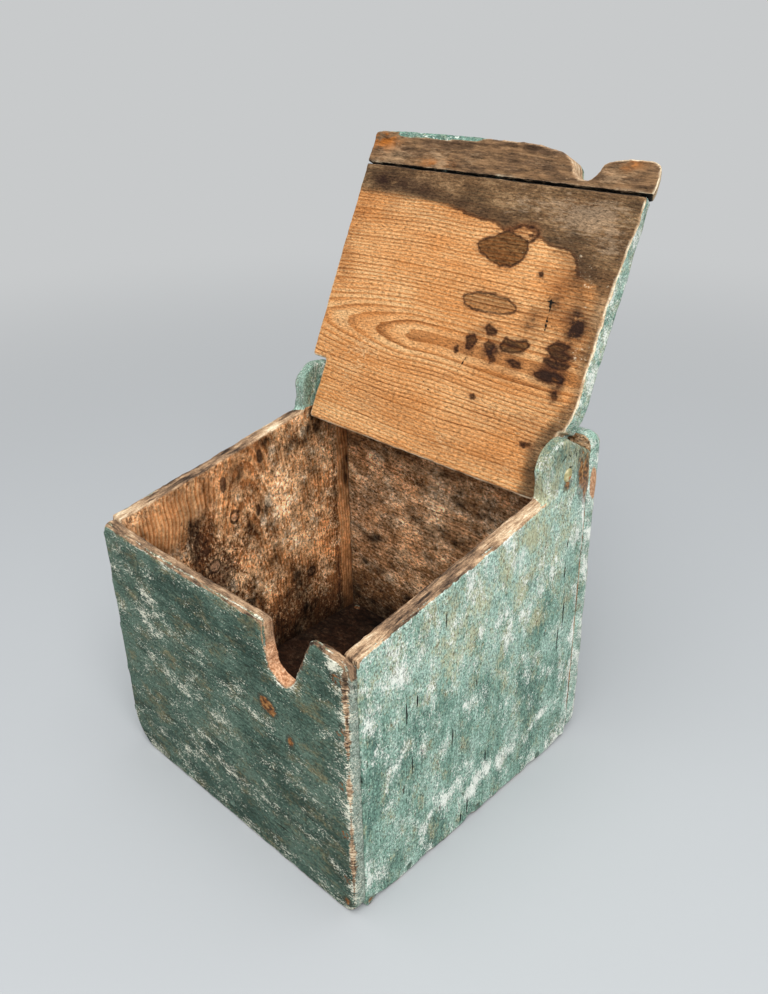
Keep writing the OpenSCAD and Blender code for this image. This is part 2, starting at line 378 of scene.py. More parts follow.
def finish_board(board, name, body, node, slot, material, place, **fields):
    """Stores a board's flat coordinates and its fields for the material, and makes it a piece."""
    board.mesh.vertices.foreach_set("co", board.points.ravel())
    board.mesh.update()
    keep(board.mesh, "board", board.flat)
    for mark in ("knot", "rust", "crack"):
        fields.setdefault(mark, np.full(len(board.flat), NO_MARK))
    for field, values in fields.items():
        keep(board.mesh, field, values)
    finish_piece(board.mesh, name, body, node, material, place)


def axes(a, b, depth, origin=(0, 0, 0)):
    """Matrix that takes flat coordinates in metres to the frame, from where each flat axis points."""
    columns = [Vector(a), Vector(b), Vector(depth)]
    turn = Matrix([[column[row] for column in columns] for row in range(3)]).to_4x4()
    return Matrix.Translation(Vector(origin)) @ turn


SIDE_PLACE = axes((0, 1, 0), (0, 0, 1), (1, 0, 0))
END_PLACE = axes((1, 0, 0), (0, 0, 1), (0, -1, 0))
FLOOR_PLACE = axes((1, 0, 0), (0, 1, 0), (0, 0, 1))
lean = math.radians(closing - 90 - LID_SLOPE)
reach_way = (0, math.sin(lean), math.cos(lean))
under_way = (0, -math.cos(lean), math.sin(lean))
LID_PLACE = axes((1, 0, 0), reach_way, under_way, (0, peg_y * MM, peg_z * MM))


# Materials

def tone(code):
    """A colour written as red, green and blue in two hex digits each."""
    parts = [int(code[i:i + 2], 16) / 255 for i in (0, 2, 4)]
    return (*[p / 12.92 if p <= 0.04045 else ((p + 0.055) / 1.055) ** 2.4 for p in parts], 1.0)


class Shader:
    """A material's nodes, made by short calls that return sockets. Lengths are in millimetres."""

    def __init__(self, name, along):
        self.material = bpy.data.materials.new(name)
        self.material.use_nodes = True
        self.tree = self.material.node_tree
        self.surface = self.tree.nodes["Principled BSDF"]
        self.along = along
        self.board = self.node("Attribute", {}, attribute_name="board").outputs["Vector"]

    def node(self, kind, inputs, **settings):
        made = self.tree.nodes.new("ShaderNode" + kind)
        for key, value in settings.items():
            setattr(made, key, value)
        for socket, value in inputs.items():
            self.put(made.inputs[socket], value)
        return made

    def put(self, socket, value):
        if isinstance(value, bpy.types.NodeSocket):
            self.tree.links.new(value, socket)
        else:
            socket.default_value = value

    def field(self, name, factor=1.0):
        """A number stored on the mesh, times a factor. It is 0 where the mesh has none."""
        made = self.node("Attribute", {}, attribute_name=name)
        return self.times(made.outputs["Fac"], factor)

    def maths(self, operation, a, b=0.0):
        return self.node("Math", {0: a, 1: b}, operation=operation).outputs[0]

    def add(self, *values):
        total = values[0]
        for value in values[1:]:
            total = self.maths("ADD", total, value)
        return total

    def times(self, a, b):
        return self.maths("MULTIPLY", a, b)

    def flip(self, value):
        return self.maths("SUBTRACT", 1.0, value)

    def most(self, a, b):
        return self.maths("MAXIMUM", a, b)

    def step(self, value, low, high):
        """0 at low and below, 1 at high and above."""
        made = self.node("MapRange", {0: value, 1: low, 2: high}, interpolation_type="SMOOTHSTEP")
        return made.outputs[0]

    def band(self, value, middle, half):
        """1 where value is at middle, 0 where it is more than half away."""
        return self.flip(self.step(self.maths("ABSOLUTE", self.add(value, -middle)), half * 0.4, half))

    def mix(self, factor, a, b, blend="MIX"):
        a, b = [tone(value) if isinstance(value, str) else value for value in (a, b)]
        made = self.node("Mix", {0: factor, 6: a, 7: b}, data_type="RGBA", blend_type=blend)
        return made.outputs[2]

    def blend(self, factor, a, b):
        """Mixes two numbers."""
        return self.node("Mix", {0: factor, 2: a, 3: b}, data_type="FLOAT").outputs[0]

    def rgb(self, code):
        made = self.node("RGB", {})
        made.outputs[0].default_value = tone(code)
        return made.outputs[0]

    def ramp(self, factor, stops):
        made = self.node("ValToRGB", {0: factor})
        elements = made.color_ramp.elements
        for place, colour in stops[1:-1]:
            elements.new(place)
        elements[0].position = stops[0][0]
        elements[len(stops) - 1].position = stops[-1][0]
        for element, (place, colour) in zip(elements, stops):
            element.color = tone(colour) if isinstance(colour, str) else (colour, colour, colour, 1)
        return made.outputs[0]

    def noise(self, length, width, depth=None, detail=2.0, rough=0.55, shift=0.0):
        """Noise of 0 to 1 whose features are length along the grain, width across it and depth deep.

        Each shift gives another pattern.
        """
        depth = depth or width
        sizes = (length, width, depth) if self.along == 0 else (width, length, depth)
        scale = tuple(1 / size for size in sizes)
        placed = self.node("Mapping", {0: self.board, 1: (shift, shift * 1.7, shift * 0.6), 3: scale})
        made = self.node("TexNoise", {
            "Vector": placed.outputs[0], "Scale": 1.0, "Detail": detail, "Roughness": rough,
        })
        return made.outputs[0]

    def wobble(self, amount, *sizes, **settings):
        """Noise of about minus amount to amount."""
        return self.times(self.add(self.noise(*sizes, **settings), -0.5), 3 * amount)

    def flecks(self, length, width, cover, shift, bias=0.0, soft=0.03, detail=3.0, rough=0.6, depth=None):
        """Mask of small torn flecks. They cover more where cover and bias are higher."""
        value = self.noise(length, width, depth, detail=detail, rough=rough, shift=shift)
        edge = 0.74 - 0.48 * cover
        return self.step(self.add(value, bias), edge, edge + soft)

    def grit(self, colour, amount, length=4.0, width=1.3, detail=3, shift=400):
        """Light and dark all over a colour, down to fine grain, which keeps its hue."""
        fine = self.noise(length, width, detail=detail, rough=0.9, shift=shift)
        level = self.add(1.0, self.times(self.add(fine, -0.5), amount))
        return self.mix(1.0, colour, self.most(level, 0.1), "MULTIPLY")

    def finish(self, colour, roughness, height, relief, specular=0.25):
        """Connects the surface. height is a bump of relief millimetres."""
        self.put(self.surface.inputs["Base Color"], colour)
        self.put(self.surface.inputs["Roughness"], roughness)
        self.surface.inputs["Specular IOR Level"].default_value = specular
        bump = self.node("Bump", {"Strength": 1.0, "Distance": relief * MM, "Height": height})
        self.put(self.surface.inputs["Normal"], bump.outputs[0])
        return self.material


def ring_lines(s, narrow):
    """Late wood lines, 0 to 1, from the ring count stored on the board. narrow is how thin they are."""
    count = s.add(s.field("ring"), s.wobble(0.12, 70, 2.5, shift=3))
    within = s.maths("FRACT", count)
    line = s.ramp(within, [(0.0, 0.0), (narrow * 0.6, 0.08), (narrow, 0.8), (0.94, 1.0), (1.0, 0.0)])
    strength = s.node("TexWhiteNoise", {1: s.maths("FLOOR", count)}, noise_dimensions="1D").outputs[0]
    return s.times(line, s.add(0.4, s.times(strength, 0.7)))


# What is stored on a board at the rim of an eye, a knot with a pale middle
EYE = 6


def bare_wood(s, pale, middle, deep, lines=0.42, narrow=0.72, fibres=0.9, long=16):
    """Colour and height of unpainted wood."""
    ring = ring_lines(s, narrow)
    fibre = s.noise(long, 0.6, detail=3, shift=7)
    wide = s.noise(90, 14, detail=2, shift=11)
    value = s.add(
        s.times(ring, lines), s.times(s.add(fibre, -0.5), fibres), s.times(s.add(wide, -0.5), 0.7), 0.16,
    )
    colour = s.ramp(value, [(0.0, pale), (0.36, middle), (0.9, deep)])
    return colour, s.add(s.times(ring, 0.5), s.times(fibre, 0.6))


def old_edge_wood(s):
    """Handled bare edges: grey-brown with tan, cream and near-black stretches."""
    stretch = s.noise(20, 20, 6, detail=3, rough=0.6, shift=29)
    fibre = s.noise(9, 9, 0.8, detail=3, rough=0.65, shift=31)
    grit = s.noise(1.6, 1.6, 0.7, detail=2, rough=0.6, shift=33)
    ticks = s.times(s.wobble(0.3, 8, 1.0, 8, detail=3, rough=0.7, shift=37), s.field("ticks"))
    value = s.add(
        s.times(stretch, 0.7), s.times(fibre, 0.45), s.times(s.add(grit, -0.5), 0.25),
        s.field("light", 0.12), ticks,
    )
    colour = s.ramp(value, [
        (0.40, "2f2620"), (0.49, "64503f"), (0.57, "8f7359"), (0.66, "b89a79"), (0.78, "e2d2b4"),
    ])
    raw = s.ramp(s.noise(2.6, 1.3, 1.6, detail=3, rough=0.6, shift=35), [
        (0.33, "8a5c3e"), (0.48, "b98a66"), (0.66, "dcb592"),
    ])
    colour = s.mix(s.field("fresh"), colour, raw)
    return s.grit(colour, 2.0, 3.0, 1.2), s.add(s.times(fibre, 0.6), s.times(grit, 0.5))


def paint_coat(s, dark, middle, light, haze, chalk, cream, thin, amounts, uneven, grit, fleck):
    """Chalky worn paint. amounts are how much haze, chalk, cream and thin paint show.

    uneven is how much they crowd together, and fleck how wide a fleck is in millimetres.
    """
    hazy, chalky, creamy, thinned = amounts
    patches = s.noise(42, 18, detail=4, rough=0.62, shift=41)
    streaks = s.noise(30, 1.1, detail=3, rough=0.7, shift=43)
    grain = s.noise(5, 1.8, detail=4, rough=0.85, shift=44)
    tint = s.add(
        s.times(patches, uneven), s.times(streaks, 0.45), s.times(grain, 0.7), s.field("tint", 0.08),
        -0.06 - uneven / 2,
    )
    colour = s.ramp(tint, [(0.38, dark), (0.52, middle), (0.68, light)])
    pale = s.field("pale", 0.12)
    ochre = s.field("ochre", 0.1)
    crowd = s.times(s.add(s.noise(22, 12, detail=4, rough=0.75, shift=47), -0.5), uneven)
    crowd_two = s.times(s.add(s.noise(19, 11, detail=4, rough=0.75, shift=49), -0.5), uneven)
    # Thin places, where the wood tints the paint
    worn = s.flecks(12, 2.6, thinned, 53, s.add(ochre, crowd_two), soft=0.12, detail=4, rough=0.75)
    colour = s.mix(s.times(worn, 0.6), colour, thin)
    # A washed-out haze round the flecks
    washed = s.flecks(6, 2.0, hazy, 57, s.add(pale, crowd), soft=0.14, detail=4, rough=0.8)
    colour = s.mix(s.times(washed, 0.42), colour, haze)
    colour = s.mix(s.times(s.step(s.add(ochre, crowd_two), 0.0, 0.22), creamy * 2.2), colour, cream)
    faded = s.times(s.field("faded"), s.step(s.noise(3, 3, detail=4, rough=0.85, shift=81), 0.3, 0.6))
    colour = s.mix(faded, colour, "a4afa2")
    colour = s.grit(colour, grit, 2.2, 1.3)
    # Torn flecks down to the primer and the wood
    bared = s.add(s.times(ochre, 0.6), s.times(crowd_two, 0.8))
    wood = s.flecks(3.6, 1.3, creamy - 0.04, 59, bared)
    colour = s.mix(s.times(wood, 0.7), colour, "6f5a3d")
    yellow = s.flecks(3.0, 1.2, creamy, 61, s.add(ochre, crowd_two), soft=0.03, rough=0.7)
    colour = s.mix(s.times(yellow, 0.6), colour, cream)
    paler = s.add(pale, crowd)
    small = s.flecks(2.8 * fleck, fleck, chalky, 67, paler, soft=0.02, rough=0.75)
    large = s.flecks(5 * fleck, 1.4 * fleck, chalky - 0.07, 71, paler, soft=0.02, rough=0.75)
    white = s.most(small, large)
    colour = s.mix(s.times(white, 0.9), colour, s.grit(s.rgb(chalk), 1.6, shift=410))
    speck = s.flecks(1.8, 1.0, chalky + 0.04, 75, s.add(s.times(pale, 0.6), crowd), soft=0.02, detail=1)
    colour = s.mix(s.times(speck, 0.8), colour, chalk)
    pit = s.flecks(2.0, 1.1, 0.22, 77, s.times(crowd_two, 0.6), soft=0.03, detail=2, rough=0.7)
    colour = s.mix(s.times(pit, 0.55), colour, "2b3029")
    # Fine checks and dirt
    check = s.flecks(10, 0.6, 0.02, 73, s.field("check", 0.1), soft=0.05, detail=2)
    colour = s.mix(s.times(check, 0.65), colour, "20251f")
    dirt = s.step(s.add(s.noise(28, 18, detail=5, rough=0.8, shift=79), s.field("dirt", 0.2)), 0.52, 0.74)
    colour = s.mix(s.times(dirt, 0.32), colour, "453f2e")
    height = s.add(
        s.times(streaks, 0.5), s.times(grain, 0.7),
        s.times(s.most(s.most(white, yellow), wood), -0.45), s.times(check, -0.5), s.times(pit, -0.3),
    )
    return colour, height


def inner_wood(s, pale, middle, deep, fleck, grime_tone):
    """Bare inside faces: scuffed and stained, paler torn flecks, dark mould, and dirt with painted shade low
    down.
    """
    colour, height = bare_wood(s, pale, middle, deep, lines=0.55, narrow=0.66, fibres=0.6)
    # stain holds real stains, and also darkening towards the bottom and painted shadow under the lid, so the
    # grime it drives is partly painted shade
    stain = s.field("stain")
    rubbed = s.field("rubbed", 0.13)
    used = s.flip(s.field("clean"))
    grime_and_shade = s.step(
        s.add(s.noise(28, 17, detail=5, rough=0.8, shift=83), s.times(stain, 0.26), s.times(rubbed, -0.5)),
        0.45, 0.64,
    )
    colour = s.mix(s.times(s.times(grime_and_shade, 0.7), used), colour, grime_tone)
    crowd = s.times(s.add(s.noise(20, 14, detail=4, rough=0.75, shift=89), -0.5), 1.2)
    dull = s.flecks(5, 3, 0.34, 95, s.times(stain, 0.08), soft=0.08, detail=4, rough=0.85)
    colour = s.mix(s.times(s.times(dull, 0.5), used), colour, grime_tone)
    scuff = s.flecks(3.4, 2.2, 0.46, 97, s.add(rubbed, crowd), soft=0.04, detail=3, rough=0.8)
    colour = s.mix(s.times(s.times(scuff, 0.76), used), colour, fleck)
    white = s.flecks(2.8, 2.2, 0.06, 101, s.add(rubbed, crowd), soft=0.03, detail=2)
    colour = s.mix(s.times(s.times(white, 0.7), used), colour, "ead2b2")
    dots = s.flecks(4, 2.8, 0.12, 103, s.times(stain, 0.16), soft=0.06, detail=4, rough=0.75)
    knot = s.step(s.add(s.field("knot"), s.wobble(1.0, 4, 2.0, detail=4, rough=0.8, shift=105)), -0.2, 0.9)
    dots = s.most(s.times(dots, 0.85), knot)
    colour = s.mix(s.times(dots, 0.85), colour, "2a1c15")
    eye = s.add(s.field("eye"), s.wobble(0.8, 4, 4, detail=3, rough=0.7, shift=106))
    colour = s.mix(s.times(s.step(eye, EYE + 0.6, EYE + 2.4), 0.6), colour, "98745a")
    colour = s.mix(s.times(s.band(eye, EYE, 1.4), 0.8), colour, "2a1c15")
    # Darkens towards deep's colour low in the box: part dirt, part painted shade
    colour = s.mix(s.field("deep"), colour, "1c0f08")
    colour = s.grit(colour, 5.0, 60.0, 36.0, 3, 420)
    amount = s.add(6.6, s.field("clean", -3.8))
    return s.grit(colour, amount, 3.6, 2.4, 4), s.add(height, s.times(scuff, -0.4), s.times(dots, -0.2))


def cracks_and_rust(s, colour, height):
    """Drying cracks and rust marks where the board stores them."""
    crack = s.step(s.add(s.field("crack"), s.wobble(0.5, 7, 1.6, shift=107)), 0.0, 0.4)
    colour = s.mix(crack, colour, "16130f")
    rusty = s.add(s.field("rust"), s.wobble(2.6, 5, 3.0, detail=4, rough=0.75, shift=109))
    mark = s.step(rusty, 0.0, 1.2)
    rim = s.band(rusty, -0.4, 1.4)
    rust = s.ramp(s.noise(3, 2, detail=3, shift=113), [(0.38, "40260f"), (0.5, "824c20"), (0.62, "ac7c48")])
    colour = s.mix(s.times(rim, 0.5), colour, "2c2418")
    colour = s.mix(s.times(mark, 0.9), colour, rust)
    return colour, s.add(height, s.times(crack, -1.6), s.times(mark, -0.4))


def board_material(name, along, coat, inside):
    """A board with a coat of paint, an inside face of its own, and worn bare edges where bare is above 0."""
    s = Shader(name, along)
    paint_colour, paint_height = coat(s)
    wood_colour, wood_height = inside(s)
    edge_colour, edge_height = old_edge_wood(s)
    face = s.field("inside")
    bare_colour = s.mix(face, edge_colour, wood_colour)
    bare_height = s.blend(face, edge_height, wood_height)
    torn = s.add(
        s.wobble(0.8, 3.5, 1.6, 1.6, detail=4, rough=0.7, shift=127),
        s.wobble(0.8, 14, 7, 7, detail=3, shift=131),
        s.times(s.field("hatch"), s.wobble(1.2, 9, 0.9, 9, detail=3, rough=0.65, shift=137)),
    )
    bare = s.step(s.add(s.field("bare"), torn, s.field("inside", 8.0)), -0.25, 0.25)
    colour = s.mix(bare, paint_colour, bare_colour)
    height = s.blend(bare, s.add(paint_height, 0.5), bare_height)
    colour, height = cracks_and_rust(s, colour, height)
    return s.finish(colour, s.add(0.68, s.times(bare, 0.14)), height, 0.3, specular=0.1)


def front_coat(s):
    return paint_coat(
        s, dark="2f4138", middle="475c50", light="5f7365", haze="8a9482", chalk="e6e4d0", cream="a0946c",
        thin="5c5840", amounts=(0.2, 0.07, 0.1, 0.36), uneven=0.8, grit=4.6, fleck=1.15,
    )


def side_coat(s):
    return paint_coat(
        s, dark="59766a", middle="769686", light="9db7a9", haze="b8c9bb", chalk="f0f3e8", cream="c8caa6",
        thin="848b72", amounts=(0.42, 0.09, 0.15, 0.3), uneven=0.9, grit=4.8, fleck=1.1,
    )


def wall_wood(s):
    return inner_wood(s, pale="c69c70", middle="b87c4c", deep="653617", fleck="cfa67c", grime_tone="522e18")


def dusty_wood(s):
    return inner_wood(s, pale="bd9872", middle="b0825a", deep="644226", fleck="c4a27e", grime_tone="634226")


def lid_wood(s):
    """The lid's underside: clean pine with a wash of stain in from the front and ringed damp marks."""
    colour, height = bare_wood(s, "c9a272", "bd8450", "6b3a16", lines=0.58, narrow=0.76, fibres=0.5, long=44)
    warm = s.step(s.noise(60, 30, detail=3, shift=201), 0.4, 0.65)
    colour = s.mix(s.times(warm, 0.4), colour, "ad692e")
    brown = s.times(s.field("brown"), s.step(s.noise(26, 9, detail=4, rough=0.65, shift=205), 0.2, 0.7))
    colour = s.mix(s.times(brown, 0.6), colour, "6e4020")
    soft = s.flip(s.field("softened", 0.84))
    tide = s.times(s.add(s.field("tide"), s.wobble(2.8, 14, 8, detail=5, rough=0.75, shift=207)), soft)
    wash = s.step(tide, -0.6, 2.4)
    scuff = s.flecks(5, 1.3, 0.14, 203, s.field("rubbed", 0.14), soft=0.08, detail=4, rough=0.7)
    colour = s.mix(s.times(s.times(scuff, 0.35), s.flip(wash)), colour, "d8b688")
    cloud = s.noise(34, 15, detail=5, rough=0.78, shift=211)
    wash_tone = s.ramp(cloud, [(0.36, "4a4a47"), (0.5, "6f706c"), (0.64, "a09e99")])
    colour = s.mix(s.times(wash, s.field("stain")), colour, wash_tone, "MULTIPLY")
    grey = s.ramp(cloud, [(0.38, "43372a"), (0.5, "65503a"), (0.62, "8c765a")])
    colour = s.mix(s.times(wash, 0.5), colour, grey)
    dust = s.flecks(10, 2.6, 0.3, 213, s.field("dust", 0.2), soft=0.16, detail=5, rough=0.8)
    colour = s.mix(s.times(s.times(dust, 0.55), wash), colour, "927c64")
    line = s.times(s.band(tide, 0.3, 1.5), s.field("tideline"))
    colour = s.mix(s.times(line, 0.8), colour, "3a2214")
    mark = s.add(s.field("blotch"), s.wobble(1.5, 6, 4, detail=4, rough=0.75, shift=217))
    inside = s.step(mark, -0.3, 0.8)
    mottle = s.ramp(s.noise(8, 3, detail=4, rough=0.78, shift=223), [(0.34, "5f564c"), (0.66, "a69b8d")])
    colour = s.mix(s.times(inside, s.flip(s.field("thinner"))), colour, mottle, "MULTIPLY")
    soot = s.times(s.field("soot"), s.step(s.noise(10, 6, detail=4, rough=0.75, shift=227), 0.22, 0.54))
    colour = s.mix(s.times(soot, 0.8), colour, "2c1c14")
    uneven = s.step(s.noise(9, 9, detail=3, rough=0.7, shift=225), 0.3, 0.6)
    rim = s.times(s.band(mark, 0.4, 1.3), s.flip(s.field("faint")))
    rim = s.times(rim, s.add(0.45, s.times(uneven, 0.4)))
    colour = s.mix(rim, colour, "2a170e")
    halo = s.times(s.step(mark, -5.0, 0.0), s.flip(inside))
    colour = s.mix(s.times(halo, 0.3), colour, "74482a")
    specks = s.flecks(2.8, 2.0, 0.0, 229, s.field("specks", 0.17), soft=0.05, rough=0.75)
    colour = s.mix(s.times(specks, 0.6), colour, "c8b498")
    return s.grit(colour, 4.0, 3.4, 1.2), s.add(height, s.times(scuff, -0.3), s.times(specks, 0.3))


def strip_wood(s):
    """The strip's underside: grey-brown, weathered, warmer at the left end."""
    colour, height = bare_wood(s, "86684a", "6c5138", "38271a", lines=0.2, narrow=0.6)
    cloud = s.noise(34, 7, detail=5, rough=0.75, shift=241)
    colour = s.mix(s.times(s.step(cloud, 0.42, 0.6), 0.7), colour, "463528")
    scuff = s.flecks(9, 2.0, 0.36, 243, s.field("rubbed", 0.14), soft=0.12, detail=5, rough=0.8)
    colour = s.mix(s.times(scuff, 0.6), colour, "94795c")
    warm = s.times(s.field("warm"), s.step(s.noise(12, 6, detail=4, shift=247), 0.36, 0.56))
    colour = s.mix(s.times(warm, 0.8), colour, "985a24")
    soot = s.times(s.field("soot"), s.step(s.noise(9, 5, detail=4, shift=249), 0.35, 0.6))
    colour = s.mix(s.times(soot, 0.8), colour, "2a1c14")
    return s.grit(colour, 4.4, 16.0, 3.0, 4), s.add(height, s.times(scuff, -0.4))


def iron():
    """Hand-cut nails, rusted, with paint left on their heads."""
    s = Shader("nail_iron", 0)
    rust = s.ramp(s.noise(2.2, 2.2, detail=4, rough=0.7, shift=301), [
        (0.34, "2b1d15"), (0.48, "5e3a20"), (0.6, "8f5a2c"), (0.72, "a97845"),
    ])
    coat = s.ramp(s.noise(4, 4, detail=3, shift=311), [(0.35, "3d5247"), (0.65, "6c8374")])
    left = s.add(s.noise(3.0, 3.0, detail=4, rough=0.7, shift=307), s.field("painted", 0.2))
    left = s.step(left, 0.56, 0.6)
    colour = s.mix(left, rust, coat)
    pits = s.noise(0.9, 0.9, detail=3, rough=0.7, shift=313)
    return s.finish(colour, s.add(0.6, s.times(pits, 0.3)), s.add(pits, s.times(left, 0.4)), 0.3)


def peg_wood():
    """Whittled pegs, painted over at their outer ends."""
    s = Shader("peg_wood", 2)
    fibre = s.noise(1.1, 1.1, 14, detail=3, rough=0.6, shift=321)
    colour = s.ramp(fibre, [(0.34, "6d4c2c"), (0.5, "a37c50"), (0.66, "cbab7c")])
    coat = s.ramp(s.noise(5, 5, detail=4, shift=327), [(0.36, "8f8a5e"), (0.5, "b3a878"), (0.64, "d8cda4")])
    left = s.add(s.noise(3.0, 3.0, detail=4, rough=0.7, shift=329), s.field("painted", 0.5))
    left = s.step(left, 0.6, 0.64)
    colour = s.mix(left, colour, coat)
    scrape = s.step(s.add(s.field("rust"), s.wobble(0.8, 2, 2, detail=4, rough=0.7, shift=331)), 0.0, 0.8)
    colour = s.mix(s.times(scrape, 0.9), colour, "b4602c")
    return s.finish(colour, 0.72, s.add(fibre, s.times(left, 0.4)), 0.25)


PAINTED_SIDE = board_material("painted_side", 1, side_coat, wall_wood)
PAINTED_FRONT = board_material("painted_front", 0, front_coat, wall_wood)
PAINTED_BACK = board_material("painted_back", 0, side_coat, dusty_wood)
BARE_FLOOR = board_material("bare_floor", 0, side_coat, dusty_wood)
LID_WOOD = board_material("lid_wood", 0, side_coat, lid_wood)
STRIP_WOOD = board_material("strip_wood", 0, side_coat, strip_wood)
IRON = iron()
PEG_WOOD = peg_wood()


# Studio and camera

BACKGROUND = "c8cacb"
FLOOR_FADES = (0.35, 1.8)


def make_camera():
    """The photograph's view: 33.8 mm lens, from the front right and above."""
    right = Vector((0.7181051, 0.6957112, -0.0176355))
    down = Vector((0.3093069, -0.3417582, -0.8874292))
    forward = Vector((-0.6234216, 0.6318126, -0.4606065))
    camera = bpy.data.objects.new("camera", bpy.data.cameras.new("camera"))
    bpy.context.scene.collection.objects.link(camera)
    camera.data.sensor_width = 36
    camera.data.lens = 33.757
    camera.data.clip_start = 0.01
    camera.matrix_world = axes(right, -down, -forward, (0.42432, -0.39209, 0.50994))
    bpy.context.scene.camera = camera


def seen_directly(tree):
    """1 on rays that come from the camera, also by way of gloss or glass."""
    path = tree.nodes.new("ShaderNodeLightPath")
    total = path.outputs["Is Camera Ray"]
    for ray in ("Is Glossy Ray", "Is Transmission Ray"):
        larger = tree.nodes.new("ShaderNodeMath")
        larger.operation = "MAXIMUM"
        tree.links.new(total, larger.inputs[0])
        tree.links.new(path.outputs[ray], larger.inputs[1])
        total = larger.outputs[0]
    return total


def make_light():
    world = bpy.data.worlds.new("studio")
    bpy.context.scene.world = world
    world.use_nodes = True
    tree = world.node_tree
    light_sky = tree.nodes["Background"]
    light_sky.inputs["Color"].default_value = (0.95, 0.97, 1.0, 1)
    light_sky.inputs["Strength"].default_value = 0.58
    backdrop = tree.nodes.new("ShaderNodeBackground")
    backdrop.inputs["Color"].default_value = tone(BACKGROUND)
    choose = tree.nodes.new("ShaderNodeMixShader")
    tree.links.new(seen_directly(tree), choose.inputs[0])
    tree.links.new(light_sky.outputs[0], choose.inputs[1])
    tree.links.new(backdrop.outputs[0], choose.inputs[2])
    tree.links.new(choose.outputs[0], tree.nodes["World Output"].inputs["Surface"])
    for name, place, size, power in (
        ("key", (1.15, -0.9, 1.6), 1.4, 31),
        ("top", (0.35, -0.5, 2.1), 2.0, 32),
    ):
        light = bpy.data.lights.new(name, "AREA")
        light.size = size
        light.energy = power
        lamp = bpy.data.objects.new(name, light)
        bpy.context.scene.collection.objects.link(lamp)
        lamp.location = place
        aim = Vector((0, 0, 0.15)) - lamp.location
        lamp.rotation_euler = aim.to_track_quat("-Z", "Y").to_euler()


def make_floor():
    """A pale floor that fades into the backdrop's colour, so that no horizon shows."""
    bm = bmesh.new()
    bmesh.ops.create_circle(bm, cap_ends=True, radius=8, segments=128)
    floor = link("floor", bm)
    material = bpy.data.materials.new("floor")
    material.use_nodes = True
    tree = material.node_tree
    surface = tree.nodes["Principled BSDF"]
    surface.inputs["Base Color"].default_value = (0.415, 0.43, 0.44, 1)
    surface.inputs["Roughness"].default_value = 0.9
    surface.inputs["Specular IOR Level"].default_value = 0.1
    place = tree.nodes.new("ShaderNodeNewGeometry")
    away = tree.nodes.new("ShaderNodeVectorMath")
    away.operation = "LENGTH"
    tree.links.new(place.outputs["Position"], away.inputs[0])
    fade = tree.nodes.new("ShaderNodeMapRange")
    fade.interpolation_type = "SMOOTHSTEP"
    tree.links.new(away.outputs["Value"], fade.inputs[0])
    fade.inputs[1].default_value, fade.inputs[2].default_value = FLOOR_FADES
    glow = tree.nodes.new("ShaderNodeEmission")
    glow.inputs["Color"].default_value = tone(BACKGROUND)
    choose = tree.nodes.new("ShaderNodeMixShader")
    tree.links.new(fade.outputs[0], choose.inputs[0])
    tree.links.new(surface.outputs[0], choose.inputs[1])
    tree.links.new(glow.outputs[0], choose.inputs[2])
    tree.links.new(choose.outputs[0], tree.nodes["Material Output"].inputs["Surface"])
    floor.data.materials.append(material)


make_camera()
make_light()
make_floor()
bpy.context.scene.view_settings.view_transform = "Standard"


# What the materials read from the boards

def rings(board, across, along, centre, lean, apex, spacing, seed, buried=0):
    """Ring count of a plain-sawn board. Its pith runs buried under the face, and dives before apex."""
    wander = noise(board.flat, (70, 22, 40), seed, 2) * 2.2
    under = np.maximum(apex - along, 0) * lean + buried
    return np.hypot(across - centre + wander, under + 0.5 * (board.high - board.flat[:, 2])) / spacing


def scatter(seed, count, low, high, size=9):
    """Random clouds over a stretch of a board, (a, b, half length, half width, turn, strength) each."""
    chance = np.random.default_rng(seed)
    spots = []
    for _ in range(count):
        a, b = chance.uniform(low, high)
        long, wide = size * chance.uniform(0.6, 1.6), size * chance.uniform(0.4, 1.0)
        spots.append((a, b, long, wide, chance.uniform(-40, 40), chance.uniform(0.5, 1.1)))
    return spots


def spots_at(places, long, wide, turn=0, strength=1.0):
    """Clouds of one size at the given places."""
    return [(a, b, long, wide, turn, strength) for a, b in places]


def region(a, b, corners):
    """Distance in millimetres inside a closed outline, negative outside it."""
    corners = np.array(corners, float)
    nearest = np.full(len(a), FAR)
    inside = np.zeros(len(a), bool)
    for (a1, b1), (a2, b2) in zip(corners, np.roll(corners, -1, 0)):
        nearest = np.minimum(nearest, from_line(a, b, a1, b1, a2, b2)[0])
        crosses = (b1 > b) != (b2 > b)
        with np.errstate(divide="ignore", invalid="ignore"):
            inside ^= crosses & (a < a1 + (b - b1) * (a2 - a1) / (b2 - b1))
    return np.where(inside, nearest, -nearest)


# The side boards

